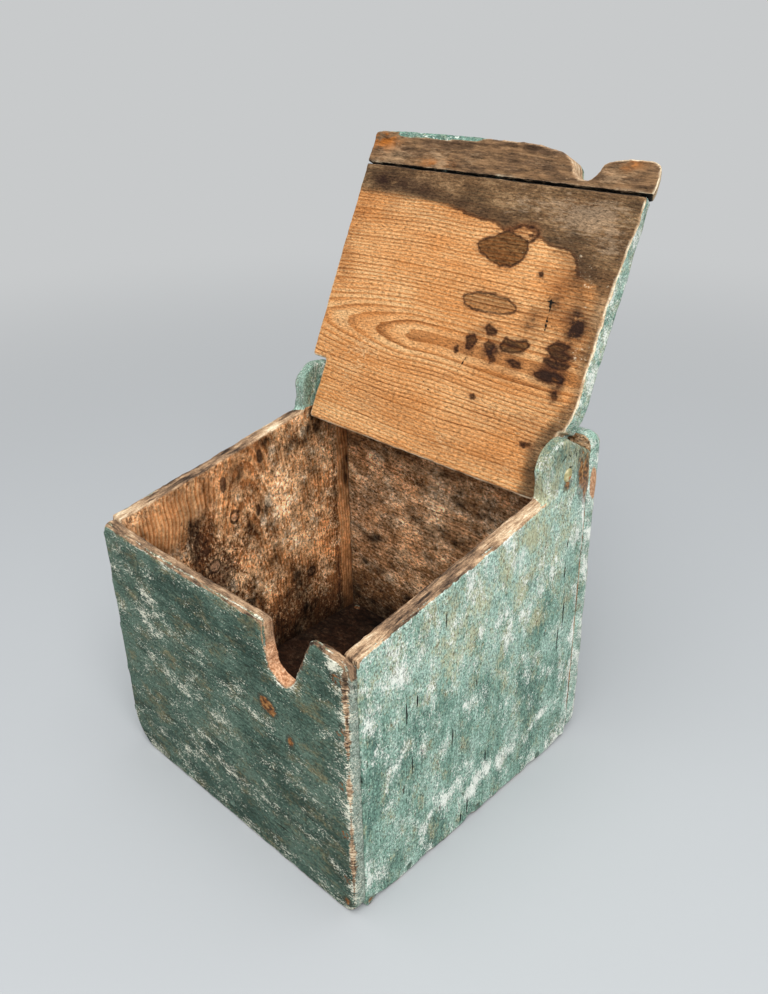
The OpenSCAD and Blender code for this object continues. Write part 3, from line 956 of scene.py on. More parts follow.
PEG_HOLE = PEG_R + 0.25
RIGHT_SIDE = [
    (side_back_y, 247.5, 2), (82, 265.2, 9), (68, 265.0, 9), (60.6, 250, 14),
    (62.3, top_z(62.3), 2.5), (side_front_y, top_z(side_front_y), 1),
    (side_front_y, 0, 3), (side_back_y, 0, 2),
]
LEFT_SIDE = [
    (side_back_y, 248.5, 2), (92, 260.8, 9), (76, 262.8, 12), (62, 250, 14),
    (62.3, top_z(62.3), 2.5), (side_front_y, top_z(side_front_y), 1),
    (side_front_y, 0, 3), (side_back_y, 0, 2),
]
REAR_FOOT = 25
RIGHT_NICKS = [(-102, 2.2), (-55, 1.2), (-8, 2.6), (30, 1.2), (61, 2.2), (101, 2.0)]
LEFT_NICKS = [(-80, 1.6), (-20, 2.2), (48, 1.8)]
RIGHT_PALE = (
    spots_at([(-91, 165), (-78, 168), (-102, 150), (-75, 116), (-61, 169), (-52, 134), (-45, 117)], 7, 9)
    + spots_at([(-61, 30), (-41, 42), (-25, 40), (-9, 28)], 13, 8, 12, 1.3)
    + spots_at([(8, 34), (25, 32), (48, 35), (72, 44)], 13, 8, 12, 1.3)
    + spots_at([(-82, 185), (-76, 23), (-97, 84), (-88, 98), (-66, 77), (17, 158), (35, 195)], 7, 8)
    + spots_at([(98, 42), (119, 39), (29, 135), (-104, 19), (100, 70), (108, 100), (-60, 100)], 8, 10)
)
RIGHT_YELLOW = (
    spots_at([(24, 200), (38, 163), (60, 214), (-34, 169), (45, 206), (76, 177)], 9, 18)
    + spots_at([(-5, 184), (-14, 159), (19, 125), (-28, 143), (30, 100), (60, 140)], 9, 15, 0, 0.8)
)
RIGHT_DEEP = spots_at([
    (-99, 24), (-79, 103), (-15, 174), (-33, 122), (-92, 128), (-51, 3), (-85, 22), (-44, 203), (44, 84),
    (-21, 77), (57, 137), (-60, 190), (70, 80), (20, 75),
], 10, 12)
RIGHT_CRACKS = [
    (-73, 135, 9), (-68, 91, 10), (-59, 90, 12), (-29, 90, 14), (7, 49, 6), (-12, 15, 12), (90, 163, 20),
    (92, 128, 22), (87, 104, 14), (-19, 9, 10), (-76, 76, 8), (-41, 35, 6), (-37, 185, 7), (90, 183, 8),
    (-63, 140, 6), (-6, 120, 5), (70, 120, 7),
]
LEFT_CRACKS = [(-60, 60, 7), (10, 120, 7), (80, 90, 7)]
# Half a crack's width. A narrower one would fall between the board's points
CRACK_HALF = 0.85
EAR_CRACKS = [(74, 250, 81, 254, 0.8), (81, 254, 87, 251, 0.8), (90, 258, 93, 246, 0.8)]
RIGHT_RUST = [
    (84, 231, 3.2, 3.8, 12), (99.5, 235, 3.6, 16, 4), (105.5, 229, 4.6, 18, 3), (-108, 5, 2.5, 2.5, 0),
]
WALL_KNOTS = [(-23, 191, 3.6, 8, 0), (14, 202, 3.4, 7.5, 4), (8, 157, 2.8, 6, 0), (-46, 140, 4, 4, 0)]
WALL_EYES = [(-39, 125, 5.5, 5.5, 0), (-15.5, 160, 4, 5, 0), (60, 75, 4, 4, 0)]
WALL_STAINS = (
    spots_at([(-50, 154), (-57, 166), (-51, 141)], 12, 15, 0, 0.9)
    + spots_at([(-29, 126), (-42, 104), (-19, 83), (-33, 114)], 17, 18, 0, 1.0)
    + spots_at([(-64, 130), (60, 60), (20, 45)], 14, 22, 0, 0.7)
)
WALL_CLEAN = (
    spots_at([(-95, 170), (-80, 172), (-98, 152), (-70, 182), (-55, 185)], 17, 17, 0, 0.9)
    + spots_at([(-35, 192), (-10, 198), (15, 206)], 10, 14, 0, 0.6)
)
WALL_RUBBED = (
    spots_at([(12, 146), (18, 160), (-81, 177), (-49, 180), (26, 203), (59, 207)], 3.5, 5, 0, 3.2)
    + spots_at([(-23, 99), (-30, 150), (-10, 176), (-60, 152)], 3, 4, 0, 2.4)
    + spots_at([(40, 150), (20, 120), (60, 170), (0, 100), (45, 95), (85, 190)], 26, 26, 0, 0.42)
)


def round_rear_foot(points, a, b, amount):
    """Rounds the box's lower rear edge by a radius. a and b are the columns of the y and z places."""
    y, z = points[:, a], points[:, b]
    over_y = y - (back_y - amount)
    over_z = amount - z
    reach = np.hypot(over_y, over_z)
    worn = (over_y > 0) & (over_z > 0) & (reach > amount)
    scale = np.where(worn, amount / np.maximum(reach, 1e-9), 1)
    points[:, a] = np.where(worn, back_y - amount + over_y * scale, y)
    points[:, b] = np.where(worn, amount - over_z * scale, z)


def clear_shoulder(board, free_from):
    """Keeps an ear inside the turning lid's shoulder, except past the depth where the lid ends."""
    rel = board.points[:, :2] - (peg_y, peg_z)
    radius = np.linalg.norm(rel, axis=1)
    angle = np.degrees(np.arctan2(rel[:, 1], rel[:, 0])) % 360
    limit = EAR_LIMIT + 7 * ease(board.points[:, 2], free_from, free_from + 4)
    beyond = (angle > 90 - math.degrees(lean)) & (angle < 183) & (radius > limit)
    scale = np.where(beyond, limit / np.maximum(radius, 1e-9), 1)
    board.points[:, :2] = rel * scale[:, None] + (peg_y, peg_z)


def make_side(corners, low, high, right, nicks, seed):
    outline = ragged(resample(rounded(corners), 1.2), 0.35, 14, seed)
    bore = ((peg_y, peg_z, (low + high) / 2), (0, 0, 1), PEG_HOLE, 4 * (high - low))
    board = Board(outline, low, high, 1.25, [bore])
    a, b = board.flat[:, 0], board.flat[:, 1]
    rough = 1 + 0.3 * noise(board.flat, 24, seed + 1)
    ear = ease(b, top_z(62) + 2, top_z(62) + 14) * ease(a, 40, 62)
    foot = 1 - ease(b, 2, 22)
    at_seam = 1 - ease(a, side_front_y + 2, side_front_y + 9)
    outer = (2.2 + 3.4 * ear * (0.35 if right else 1.0) + 1.2 * foot * (1 - at_seam) - 1.8 * at_seam) * rough
    inner = (1.2 + 0.6 * ear) * rough
    board.wear(*((inner, outer) if right else (outer, inner)))
    board.soften()
    for place, size in nicks:
        board.dent(place, 0, high if right else low, (4.5, 6, 5), (0, size, 0))
    round_rear_foot(board.points, 0, 1, np.where(foot > 0, REAR_FOOT, 1.0) if right else 14)
    board.weather(0.28, 26, seed + 2)
    board.weather(0.30 * np.exp(-board.arris / 5), 5, seed + 3)
    clear_shoulder(board, 119.6 if right else 1e3)
    below = board.points[:, 0] < 58
    board.points[below, 1] = np.minimum(board.points[below, 1], top_z(board.points[below, 0]))
    board.points[:, 1] = np.maximum(board.points[:, 1], 0)
    # What shows on it
    outer_depth = high - board.flat[:, 2] if right else board.flat[:, 2] - low
    outer_arris = np.hypot(board.rim, outer_depth)
    ear = ease(b, top_z(62) - 2, top_z(62) + 6) * ease(a, 56, 62)
    tip = ease(b, top_z(side_front_y) - 9, top_z(side_front_y) - 3)
    seam = (1 - ease(a, side_front_y, side_front_y + 3)) * (1 - tip)
    wear_width = (1.1 + 0.9 * noise(board.flat, 12, seed + 5, 2)) * (1 - 0.6 * ear) - 4 * seam - 3 * ear
    painted_in = 1.4 + 0.8 * noise(board.flat, 20, seed + 6) + 30 * np.maximum(ear, seam) + 3 * foot
    fields = {
        "ring": rings(board, a, -b, -4, 0.2, -40, 3.0, seed + 7),
        "bare": np.maximum(outer_depth - painted_in, wear_width - outer_arris),
        "inside": ease(outer_depth, high - low - 2.6, high - low - 1.0) * ease(board.rim, 0.4, 1.6),
        "light": clouds(a, b, spots_at([(25, top_z(25)), (-100, top_z(-100))], 20, 20)) - 0.4,
        "knot": -patch(a, b, WALL_KNOTS),
        # Stain and deep grow towards the bottom of the inside: part dirt, part painted shade low in the box
        "stain": clouds(a, b, WALL_STAINS) + 0.6 * (1 - ease(b, 30, 95)),
        "rubbed": clouds(a, b, WALL_RUBBED),
        "eye": EYE - patch(a, b, WALL_EYES),
        "deep": 0.9 * (1 - ease(b, 12, 72)),
    }
    low_rim = (1 - 0.6 * ease(b, 60, 120)) * (1 - seam)
    rim_pale = 1.2 * low_rim * np.exp(-(board.rim / 3.0) ** 2 - outer_depth / 4)
    rim_pale += 1.3 * foot * ease(a, 30, 100)
    post = ease(a, 95, 97)
    fields["clean"] = np.clip(clouds(a, b, WALL_CLEAN) + 0.9 * post, 0, 1)
    fields["stain"] += 1.1 * np.exp(-((a - 92) / 2.2) ** 2) - 0.5 * post
    fields["dirt"] = 0.9 * ear + 2.0 * ease(b, 244, 260)
    fields["check"] = 0.8 * ear
    from_peg = np.hypot(a - peg_y, b - peg_z)
    over_peg = (a > peg_y - 1) & (b > peg_z)
    round_peg = np.where(over_peg, 0.45 - np.abs(from_peg - PEG_HOLE - 0.5), NO_MARK)
    if right:
        lines = [(y, z - half, y, z + half, CRACK_HALF) for y, z, half in RIGHT_CRACKS]
        lines.extend(EAR_CRACKS)
        lines.append((side_front_y + 0.4, -20, side_front_y + 0.4, 120, 0.2))
        lines.append((side_front_y + 0.3, 80, side_front_y + 0.3, 210, 0.4))
        high_up = ease(b, 80, 220)
        fields["pale"] = rim_pale + 0.8 * ease(a, 100, 112) + 0.45 * high_up - 0.5 * ear
        fields["pale"] += clouds(a, b, RIGHT_PALE)
        fields["ochre"] = 1.4 * clouds(a, b, RIGHT_YELLOW) + 0.9 * ear + 0.6 * ease(b, 110, 170)
        fields["tint"] = 0.2 - clouds(a, b, RIGHT_DEEP) + 1.8 * high_up - 3.2 * ease(b, 238, 262)
        fields["crack"] = np.maximum(-strokes(a, b, lines), round_peg)
        fields["rust"] = -patch(a, b, RIGHT_RUST)
    else:
        fields["pale"] = clouds(a, b, scatter(seed + 8, 26, (-105, 8), (115, 200))) + rim_pale
        fields["ochre"] = clouds(a, b, scatter(seed + 9, 14, (-105, 20), (115, 210), 12))
        fields["tint"] = 0.4 - clouds(a, b, scatter(seed + 10, 12, (-105, 8), (115, 200), 14))
        lines = [(y, z - half, y, z + half, CRACK_HALF) for y, z, half in LEFT_CRACKS]
        fields["crack"] = -strokes(a, b, lines)
    return board, fields


right_board, right_fields = make_side(RIGHT_SIDE, right_inner_x, right_x, True, RIGHT_NICKS, 11)
finish_board(
    right_board, "right_side_board", "box", "right_side", "painted_side", PAINTED_SIDE, SIDE_PLACE,
    **right_fields,
)
left_board, left_fields = make_side(LEFT_SIDE, left_x, left_inner_x, False, LEFT_NICKS, 23)
finish_board(
    left_board, "left_side_board", "box", "left_side", "painted_side", PAINTED_SIDE, SIDE_PLACE,
    **left_fields,
)

# The front board

FRONT_BOARD = [
    (left_x, 0, 25), (right_x, 0, 11), (right_x, 198.4, 3), (101.5, 203.6, 2.5),
    (96.2, 200.5, 3), (91, 189, 8), (79.5, 162.5, 8), (72, 155.8, 5), (63, 157.4, 4),
    (57, 161.8, 4), (55.4, 174, 6), (53.6, 182, 6), (53.6, 193.9, 1.2), (40, 194.2, 4),
    (-60, 193.8, 40), (-108, 195.6, 10), (left_x, 196.2, 9),
]
CLOSED_EDGE_Y = 5.2
FRONT_PALE = (
    spots_at([(-112, 181), (-97, 175), (-104, 178)], 9, 7, 0, 0.6)
    + spots_at([(-79, 158), (-67, 145), (-78, 124), (-72, 135), (-74, 151)], 13, 11, 0, 0.55)
    + spots_at([(-72, 94), (-58, 91), (-40, 90), (-24, 92), (-86, 98)], 19, 9, 0, 0.6)
    + spots_at([(-9, 81), (-26, 48), (-61, 28), (-3, 46), (13, 41), (41, 48), (-40, 35)], 20, 10, 0, 0.5)
    + spots_at([(117, 179), (114, 196), (120, 150), (122, 160), (121, 99), (108, 120)], 6, 14, 0, 0.6)
    + spots_at([(73, 12), (-78, 8), (-52, 10), (20, 8), (-100, 20), (100, 8)], 18, 7, 0, 0.6)
)
FRONT_OCHRE = (
    spots_at([(-115, 133), (-97, 150), (-61, 115), (1, 143), (16, 123), (62, 185), (86, 162)], 12, 6)
    + spots_at([(101, 148), (51, 5), (-80, 60), (-108, 83), (99, 100), (96, 120)], 9, 8)
    + spots_at([(-60, 186), (-20, 188), (20, 188)], 26, 3, 0, 0.9)
)
FRONT_DEEP = spots_at([
    (-13, 175), (25, 180), (41, 167), (51, 150), (26, 167), (78, 69), (105, 63), (73, 190), (-10, 160),
    (-50, 172), (60, 100),
], 16, 9)
FRONT_CHECKS = [
    (-100, 168, 24), (-40, 152, 20), (20, 166, 16), (46, 158, 9), (-70, 70, 26), (-10, 66, 30), (50, 78, 26),
    (90, 60, 18), (20, 110, 14), (-30, 130, 12), (60, 30, 20), (-60, 50, 18),
]
FRONT_RUST = [
    (53, 131, 8.6, 6.0, -24), (73, 114, 3.2, 4.0, 0), (119, 187, 5, 3.2, 0), (121, 150, 1.6, 4, 0),
    (118, 10, 3.2, 2.6, 0),
]


# Only the tip before this may stand up past the closed lid's underside
TIP_Y = 117.2


def make_front():
    outline = resample(rounded(FRONT_BOARD), 1.0)
    cut = ease(outline[:, 0], 52.5, 54.5) * (1 - ease(outline[:, 0], 90, 97)) * ease(outline[:, 1], 140, 150)
    outline = ragged(outline, 0.25 + 0.5 * cut, 5, 41)
    board = Board(outline, -side_front_y, -front_y, 1.1)
    a, b = board.flat[:, 0], board.flat[:, 1]
    outer_depth = board.high - board.flat[:, 2]
    # The top falls towards the inside, and must leave room for the closed lid
    near_top = ease(b, 150, 192)
    right_tip = ease(a, 84, 92)
    ridge = ease(outer_depth, 2.2, CLOSED_EDGE_Y) * 5.6 * right_tip
    slant = outer_depth * (0.16 + 0.06 * noise(board.flat, 30, 45))
    rough = 1 + 0.2 * noise(board.flat, 20, 42)
    left_end = 1 - ease(a, left_x + 4, left_x + 26)
    right_end = ease(a, right_x - 12, right_x - 3)
    top = ease(b, 186, 193)
    in_cut = ease(a, 53, 54.5) * (1 - ease(a, 88, 95)) * ease(b, 140, 150)
    outer = (1.6 + 4.2 * left_end + 1.6 * right_end + 0.9 * top * (1 - in_cut)) * rough
    board.wear(0.6 * rough, np.where(in_cut > 0.5, 0.9, outer))
    board.soften()
    board.points[:, 1] -= near_top * (slant * (1 - right_tip) + ridge)
    board.weather(0.22, 28, 43)
    board.weather(0.28 * np.exp(-board.arris / 4), 4, 44)
    under_lid = (board.points[:, 2] < TIP_Y) | (board.points[:, 0] < 90)
    lid_plane = top_z(-board.points[:, 2])
    board.points[:, 1] = np.where(under_lid, np.minimum(board.points[:, 1], lid_plane), board.points[:, 1])
    board.points[:, 1] = np.maximum(board.points[:, 1], 0)
    # What shows on it
    outer_arris = np.hypot(board.rim, outer_depth)
    thick = board.high - board.low
    at_cut = in_cut * (board.rim < 6)
    upright_end = np.maximum(right_end, left_end) * (1 - top)
    painted_in = 2.6 + 1.2 * noise(board.flat, 24, 46) + 30 * upright_end * (1 - at_cut) - 2.4 * at_cut
    corner = right_end * (0.5 + 2.0 * noise(board.flat, (30, 18, 30), 47) + 1.2 * ease(b, 120, 180))
    on_end = ease(a, right_x - 2.4, right_x - 1.0) * ease(outer_depth, 1.0, 2.6) * (1 - top)
    wear_width = 0.6 + 0.8 * noise(board.flat, 12, 48, 2) + corner + 1.2 * top * (1 - in_cut)
    near_rim = np.exp(-(board.rim / 3.5) ** 2)
    lines = [(x - half, z, x + half, z + 0.6, 0.62) for x, z, half in FRONT_CHECKS]
    return board, {
        "ring": rings(board, b, a, 100, 0.2, -60, 3.6, 49),
        "bare": np.maximum(outer_depth - painted_in, wear_width - outer_arris),
        "inside": ease(outer_depth, thick - 2.6, thick - 1.0) * ease(board.rim, 0.4, 1.6),
        "fresh": at_cut * ease(outer_depth, 0.2, 1.0),
        "hatch": 2.2 * right_end * (1 - top) + 1.3 * top,
        "ticks": 1.5 * right_end * (1 - top),
        "light": 0.3 * right_end * (1 - top) + 0.3 * top * (1 - ease(outer_depth, 3, 6)) - 0.3,
        "pale": clouds(a, b, FRONT_PALE) + 1.1 * near_rim * (1 - on_end) + 0.3 * on_end,
        "faded": 0.85 * on_end,
        "ochre": clouds(a, b, FRONT_OCHRE) + 1.2 * top * near_rim,
        "tint": 0.4 - clouds(a, b, FRONT_DEEP) + 1.2 * near_rim - 0.9 * (1 - ease(b, 20, 110)),
        "rust": -patch(a, b, FRONT_RUST),
        "crack": -strokes(a, b, lines),
        # Darker towards the bottom of the inside face: part dirt, part painted shade
        "deep": 0.95 * (1 - ease(b, 18, 80)),
        "stain": 0.8 * (1 - ease(b, 60, 140)),
    }


front, front_fields = make_front()
finish_board(
    front, "front_board_worn", "box", "front_board", "painted_front", PAINTED_FRONT, END_PLACE,
    **front_fields,
)

# The back board

BACK_BOARD = [
    (left_x, 0, 14), (right_x, 0, 14), (right_x, back_top - 0.4, 8), (40, back_top - 0.9, 60),
    (-60, back_top - 0.2, 60), (left_x, back_top - 1.2, 10),
]
BACK_CRACKS = [(-60, 150, 20, 151, 0.5), (30, 60, 100, 59, 0.5), (-110, 90, -50, 91, 0.5)]
BACK_RUBBED = (
    spots_at([(-75, 178), (-52, 176), (13, 162), (-53, 128), (-8, 126), (-66, 63)], 9, 6, 0, 1.4)
    + spots_at([(-19, 159), (20, 176), (-30, 140), (40, 150), (-85, 150)], 22, 14, 0, 0.7)
)


def make_back():
    outline = ragged(resample(rounded(BACK_BOARD), 1.2), 0.35, 16, 61)
    board = Board(outline, -back_y, -side_back_y, 1.5)
    a, b = board.flat[:, 0], board.flat[:, 1]
    rough = 1 + 0.45 * noise(board.flat, 16, 62)
    board.wear(3.0 * rough, 1.4 * rough)
    board.soften()
    amount = 8 + (REAR_FOOT - 8) * ease(a, 60, 118) + 6 * (1 - ease(a, -118, -70))
    y_z = np.column_stack([-board.points[:, 2], board.points[:, 1]])
    round_rear_foot(y_z, 0, 1, amount)
    board.points[:, 2], board.points[:, 1] = -y_z[:, 0], y_z[:, 1]
    board.weather(0.25, 28, 63)
    board.weather(0.28 * np.exp(-board.arris / 4), 4, 64)
    board.points[:, 1] = np.maximum(board.points[:, 1], 0)
    # What shows on it
    outer_depth = board.flat[:, 2] - board.low
    outer_arris = np.hypot(board.rim, outer_depth)
    thick = board.high - board.low
    end = ease(a, right_x - 2.4, right_x - 1.0)
    chip = -patch(outer_depth, b, [(6, 221, 4.5, 13, -8)]) * end - 8 * (1 - end)
    cover = ease(b, back_top - 22, back_top - 12) + ease(np.abs(a), 112, 118)
    painted_in = thick - 0.6 + 3 * np.minimum(cover, 1) + 0.6 * noise(board.flat, 20, 65)
    wear_width = 1.0 + 0.9 * noise(board.flat, 12, 66, 2)
    near_rim = np.exp(-(board.rim / 3.5) ** 2 - outer_depth / 14)
    return board, {
        "ring": rings(board, b, a, 300, 0.02, 0, 3.4, 67),
        "bare": np.maximum(np.maximum(outer_depth - painted_in, wear_width - outer_arris), chip),
        "inside": ease(outer_depth, thick - 2.6, thick - 1.0) * ease(board.rim, 0.4, 1.6),
        "fresh": ease(chip, -1, 0.5),
        "light": near_rim,
        "dirt": 0.3 * end,
        "pale": clouds(a, b, scatter(68, 30, (-118, 10), (118, 235), 11)) + 0.9 * near_rim + 0.5 * end,
        "ochre": clouds(a, b, scatter(69, 16, (-118, 20), (118, 235), 14)),
        "tint": 0.4 - clouds(a, b, scatter(70, 14, (-118, 10), (118, 235), 18)) * (1 - end) + 0.8 * end,
        "crack": -strokes(a, b, BACK_CRACKS),
        "rubbed": clouds(a, b, BACK_RUBBED),
        # Darker towards the bottom, part dirt and part painted shade; the band near the top is painted
        # shadow under the lid
        "stain": 0.6 * (1 - ease(b, 40, 110)) + 0.25 * ease(b, 180, 205),
        "deep": 0.85 * (1 - ease(b, 12, 66)),
    }


back, back_fields = make_back()
finish_board(
    back, "back_board_worn", "box", "back_board", "painted_back", PAINTED_BACK, END_PLACE,
    **back_fields,
)

# The bottom board


def make_bottom():
    low_x, high_x = span("bottom_board", 0)
    low_y, high_y = span("bottom_board", 1)
    corners = [(low_x, low_y, 1), (high_x, low_y, 1), (high_x, high_y, 1), (low_x, high_y, 1)]
    board = Board(resample(rounded(corners), 2), 0, floor_top, 2.5)
    board.wear(0.8, 0.8)
    board.weather(0.2 * ease(board.flat[:, 2], 2, 10), 30, 71)
    a, b = board.flat[:, 0], board.flat[:, 1]
    ones = np.ones(len(a))
    upper = ease(board.flat[:, 2], floor_top / 2, floor_top - 1)
    return board, {
        "ring": rings(board, b, a, 20, 0.15, 50, 3.6, 72),
        "bare": 9 * ones,
        "inside": ones,
        # The floor's upper face is darkened almost black: part dirt, part painted shade
        "stain": upper + 0.4,
        "deep": 0.96 * upper,
    }


bottom, bottom_fields = make_bottom()
finish_board(
    bottom, "bottom_board_bare", "box", "bottom_board", "bare_floor", BARE_FLOOR, FLOOR_PLACE,
    **bottom_fields,
)

# The lid

lid_left = span("lid_board", 0)[0]
tongue = right_inner_x - 1.5
peg_reach_in = span("pivot_peg_right", 0)[0]
SHOULDER = 24.8
STRIP_JOINT = 182.25
STRIP_BACK = 183.05
LID_BOARD = [
    (lid_left, SHOULDER, 2), (-tongue, SHOULDER, 1.5), (-tongue, -23.3, 1.5), (tongue, -23.3, 4),
    (tongue, SHOULDER, 1.5), (115.6, SHOULDER, 2), (119.3, 35, 6), (119.8, 46, 20), (118.6, 62, 20),
    (118.3, 80, 30), (117.4, 112, 30), (118.6, 148, 20), (120.4, 164, 12), (119.4, STRIP_JOINT, 1),
    (-129.8, STRIP_JOINT, 1), (-129.2, 100, 60),
]
LID_STRIP = [
    (-129.8, STRIP_BACK, 1), (-129.8, 207.6, 2.5), (-104.6, 209.2, 10), (-63.8, 209.6, 30),
    (10.4, 208.9, 20), (27.7, 208.0, 12), (45.2, 205.2, 6), (56.1, 201, 4), (59.6, 196.5, 3),
    (61.2, 191.5, 4), (66, 188.2, 5), (74.2, 187.9, 5), (78.2, 192, 4), (80.4, 198.3, 3),
    (84.2, 201.2, 4), (97.7, 203.9, 8), (116.5, 204.6, 5), (123.0, 201, 3), (124.2, 190, 6),
    (123.4, STRIP_BACK, 1),
]
TIDE = [
    (-140, 158), (-115, 158), (-88, 158), (-58, 158), (-38, 159), (-16, 154), (0, 152), (12, 151), (20, 148),
    (27, 149), (36, 152), (46, 149), (61, 142), (77, 140), (83, 137), (86, 131), (92, 124), (101, 119),
    (105, 112), (104, 100), (109, 88), (106, 76), (111, 62), (112, 50), (106, 36), (98, 22), (92, 8),
    (96, -30), (150, -30), (150, 230), (-140, 230),
]
BLOTCHES = [
    [(1, 135), (5, 139), (15, 143), (24, 148), (32, 146), (43, 143), (45, 135), (43, 128), (35, 123),
     (26, 122), (16, 125), (6, 129)],
    [(3, 98), (14, 102), (29, 103), (42, 102), (51, 97), (50, 93), (39, 90), (25, 89), (13, 89), (6, 92)],
    [(29, 79), (33, 82), (41, 79), (41, 75), (34, 75)],
    [(46, 70), (50, 76), (57, 75), (67, 78), (71, 74), (67, 69), (57, 66), (50, 66)],
    [(33, 68), (37, 71), (45, 68), (42, 64), (47, 59), (43, 56), (38, 62)],
    [(55, 61), (60, 63), (68, 61), (69, 58), (63, 57)],
    [(83, 76), (91, 82), (101, 80), (97, 76), (106, 73), (98, 68), (90, 70)],
    [(84, 69), (93, 69), (105, 68), (103, 64), (92, 63), (85, 65)],
    [(79, 56), (85, 61), (95, 62), (104, 60), (104, 55), (95, 54), (85, 54)],
    [(97, 49), (101, 50), (104, 46), (101, 43)],
    [(17, 70), (23, 73), (27, 69), (24, 61), (19, 61)],
    [(9, 60), (12, 62), (14, 58), (11, 56)],
    [(86, 11), (94, 12.5), (97, 10), (89, 8)],
    [(34, 31), (38, 32.5), (41, 30), (37, 28.5)],
    [(59, 123), (62, 124), (64, 121), (61, 120)],
]
LID_SCORES = [
    (75, 110, 77, 98, 0.95), (77, 100, 78, 82, 0.95), (71, 106, 82, 105, 0.8), (24, 62, 17, 40, 0.6),
    (-13, 35, -5, 27, 0.6), (-5, 27, 6, 22, 0.6),
]
LOOP = [
    (24, 147, 36, 152.5, 1.0), (35, 152, 47, 152, 1.0), (47, 152, 50, 147, 1.0), (42, 146.5, 51, 146, 1.3),
    (44, 141, 50, 147, 0.9),
]
SOOT = (
    spots_at([(98, 75), (94, 66), (90, 58), (99, 57)], 12, 5.5, 0, 1.0)
    + spots_at([(39, 63), (57, 71), (34, 78), (62, 60), (45, 66)], 7, 5, 0, 0.8)
    + spots_at([(98, 101), (103, 93), (100, 88)], 7, 7, 0, 1.0)
    + spots_at([(66, 91), (78, 106), (22, 67), (101, 47)], 5, 8, 0, 0.85)
    + spots_at([(-100, 168), (-82, 169), (-62, 168), (-112, 172)], 13, 7, -4, 0.85)
    + spots_at([(90, 128), (84, 137), (97, 114), (72, 141), (88, 120)], 8, 7, 0, 0.6)
    + spots_at([(20, 66), (45, 60), (88, 90), (70, 84)], 14, 12, 0, 0.2)
    + spots_at([(-40, 164), (-20, 161), (30, 150), (0, 155)], 14, 4, 0, 0.5)
)
DUST = spots_at([
    (85, 165), (98, 158), (70, 158), (100, 172), (108, 145), (60, 170), (30, 166),
], 16, 8, 0, 0.9)
SPECKS = spots_at([(86, 137), (98, 122), (96, 130), (99, 104), (108, 76)], 6, 5)
LID_BROWN = (
    spots_at([(74, 126), (80, 118), (78, 108), (95, 98), (88, 100), (66, 92), (104, 86)], 9, 9, 0, 0.85)
    + spots_at([(-122, 135), (-124, 115), (-120, 95), (-115, 150), (-90, 152)], 9, 12, 0, 0.8)
    + spots_at([(-60, 150), (-30, 150), (60, 50), (90, 30), (60, 20), (100, 20)], 20, 10, 0, 0.5)
    + spots_at([(-60, 5), (-20, 0), (30, -8), (70, -10)], 24, 10, 0, 0.5)
)


# Paint that strayed over the strip's underside, and its warm and dark stretches
STRIP_PAINT = spots_at([(-92, 206.5), (-62, 207), (-35, 208)], 14, 2.6, 0, 3.2)
STRIP_WARM = [(-118, 202, 14, 8, 0, 1.5), (-60, 187, 16, 3, 0, 0.9), (100, 201, 10, 4, 0, 1.0)]
STRIP_SOOT = (
    spots_at([(-20, 205), (20, 206), (-50, 205), (45, 203), (95, 201)], 20, 3.5, 0, 0.75)
    + [(10, 196, 40, 5, 0, 0.3), (112, 190, 10, 6, 0, 0.4), (-90, 203, 12, 3, 0, 0.5)]
)


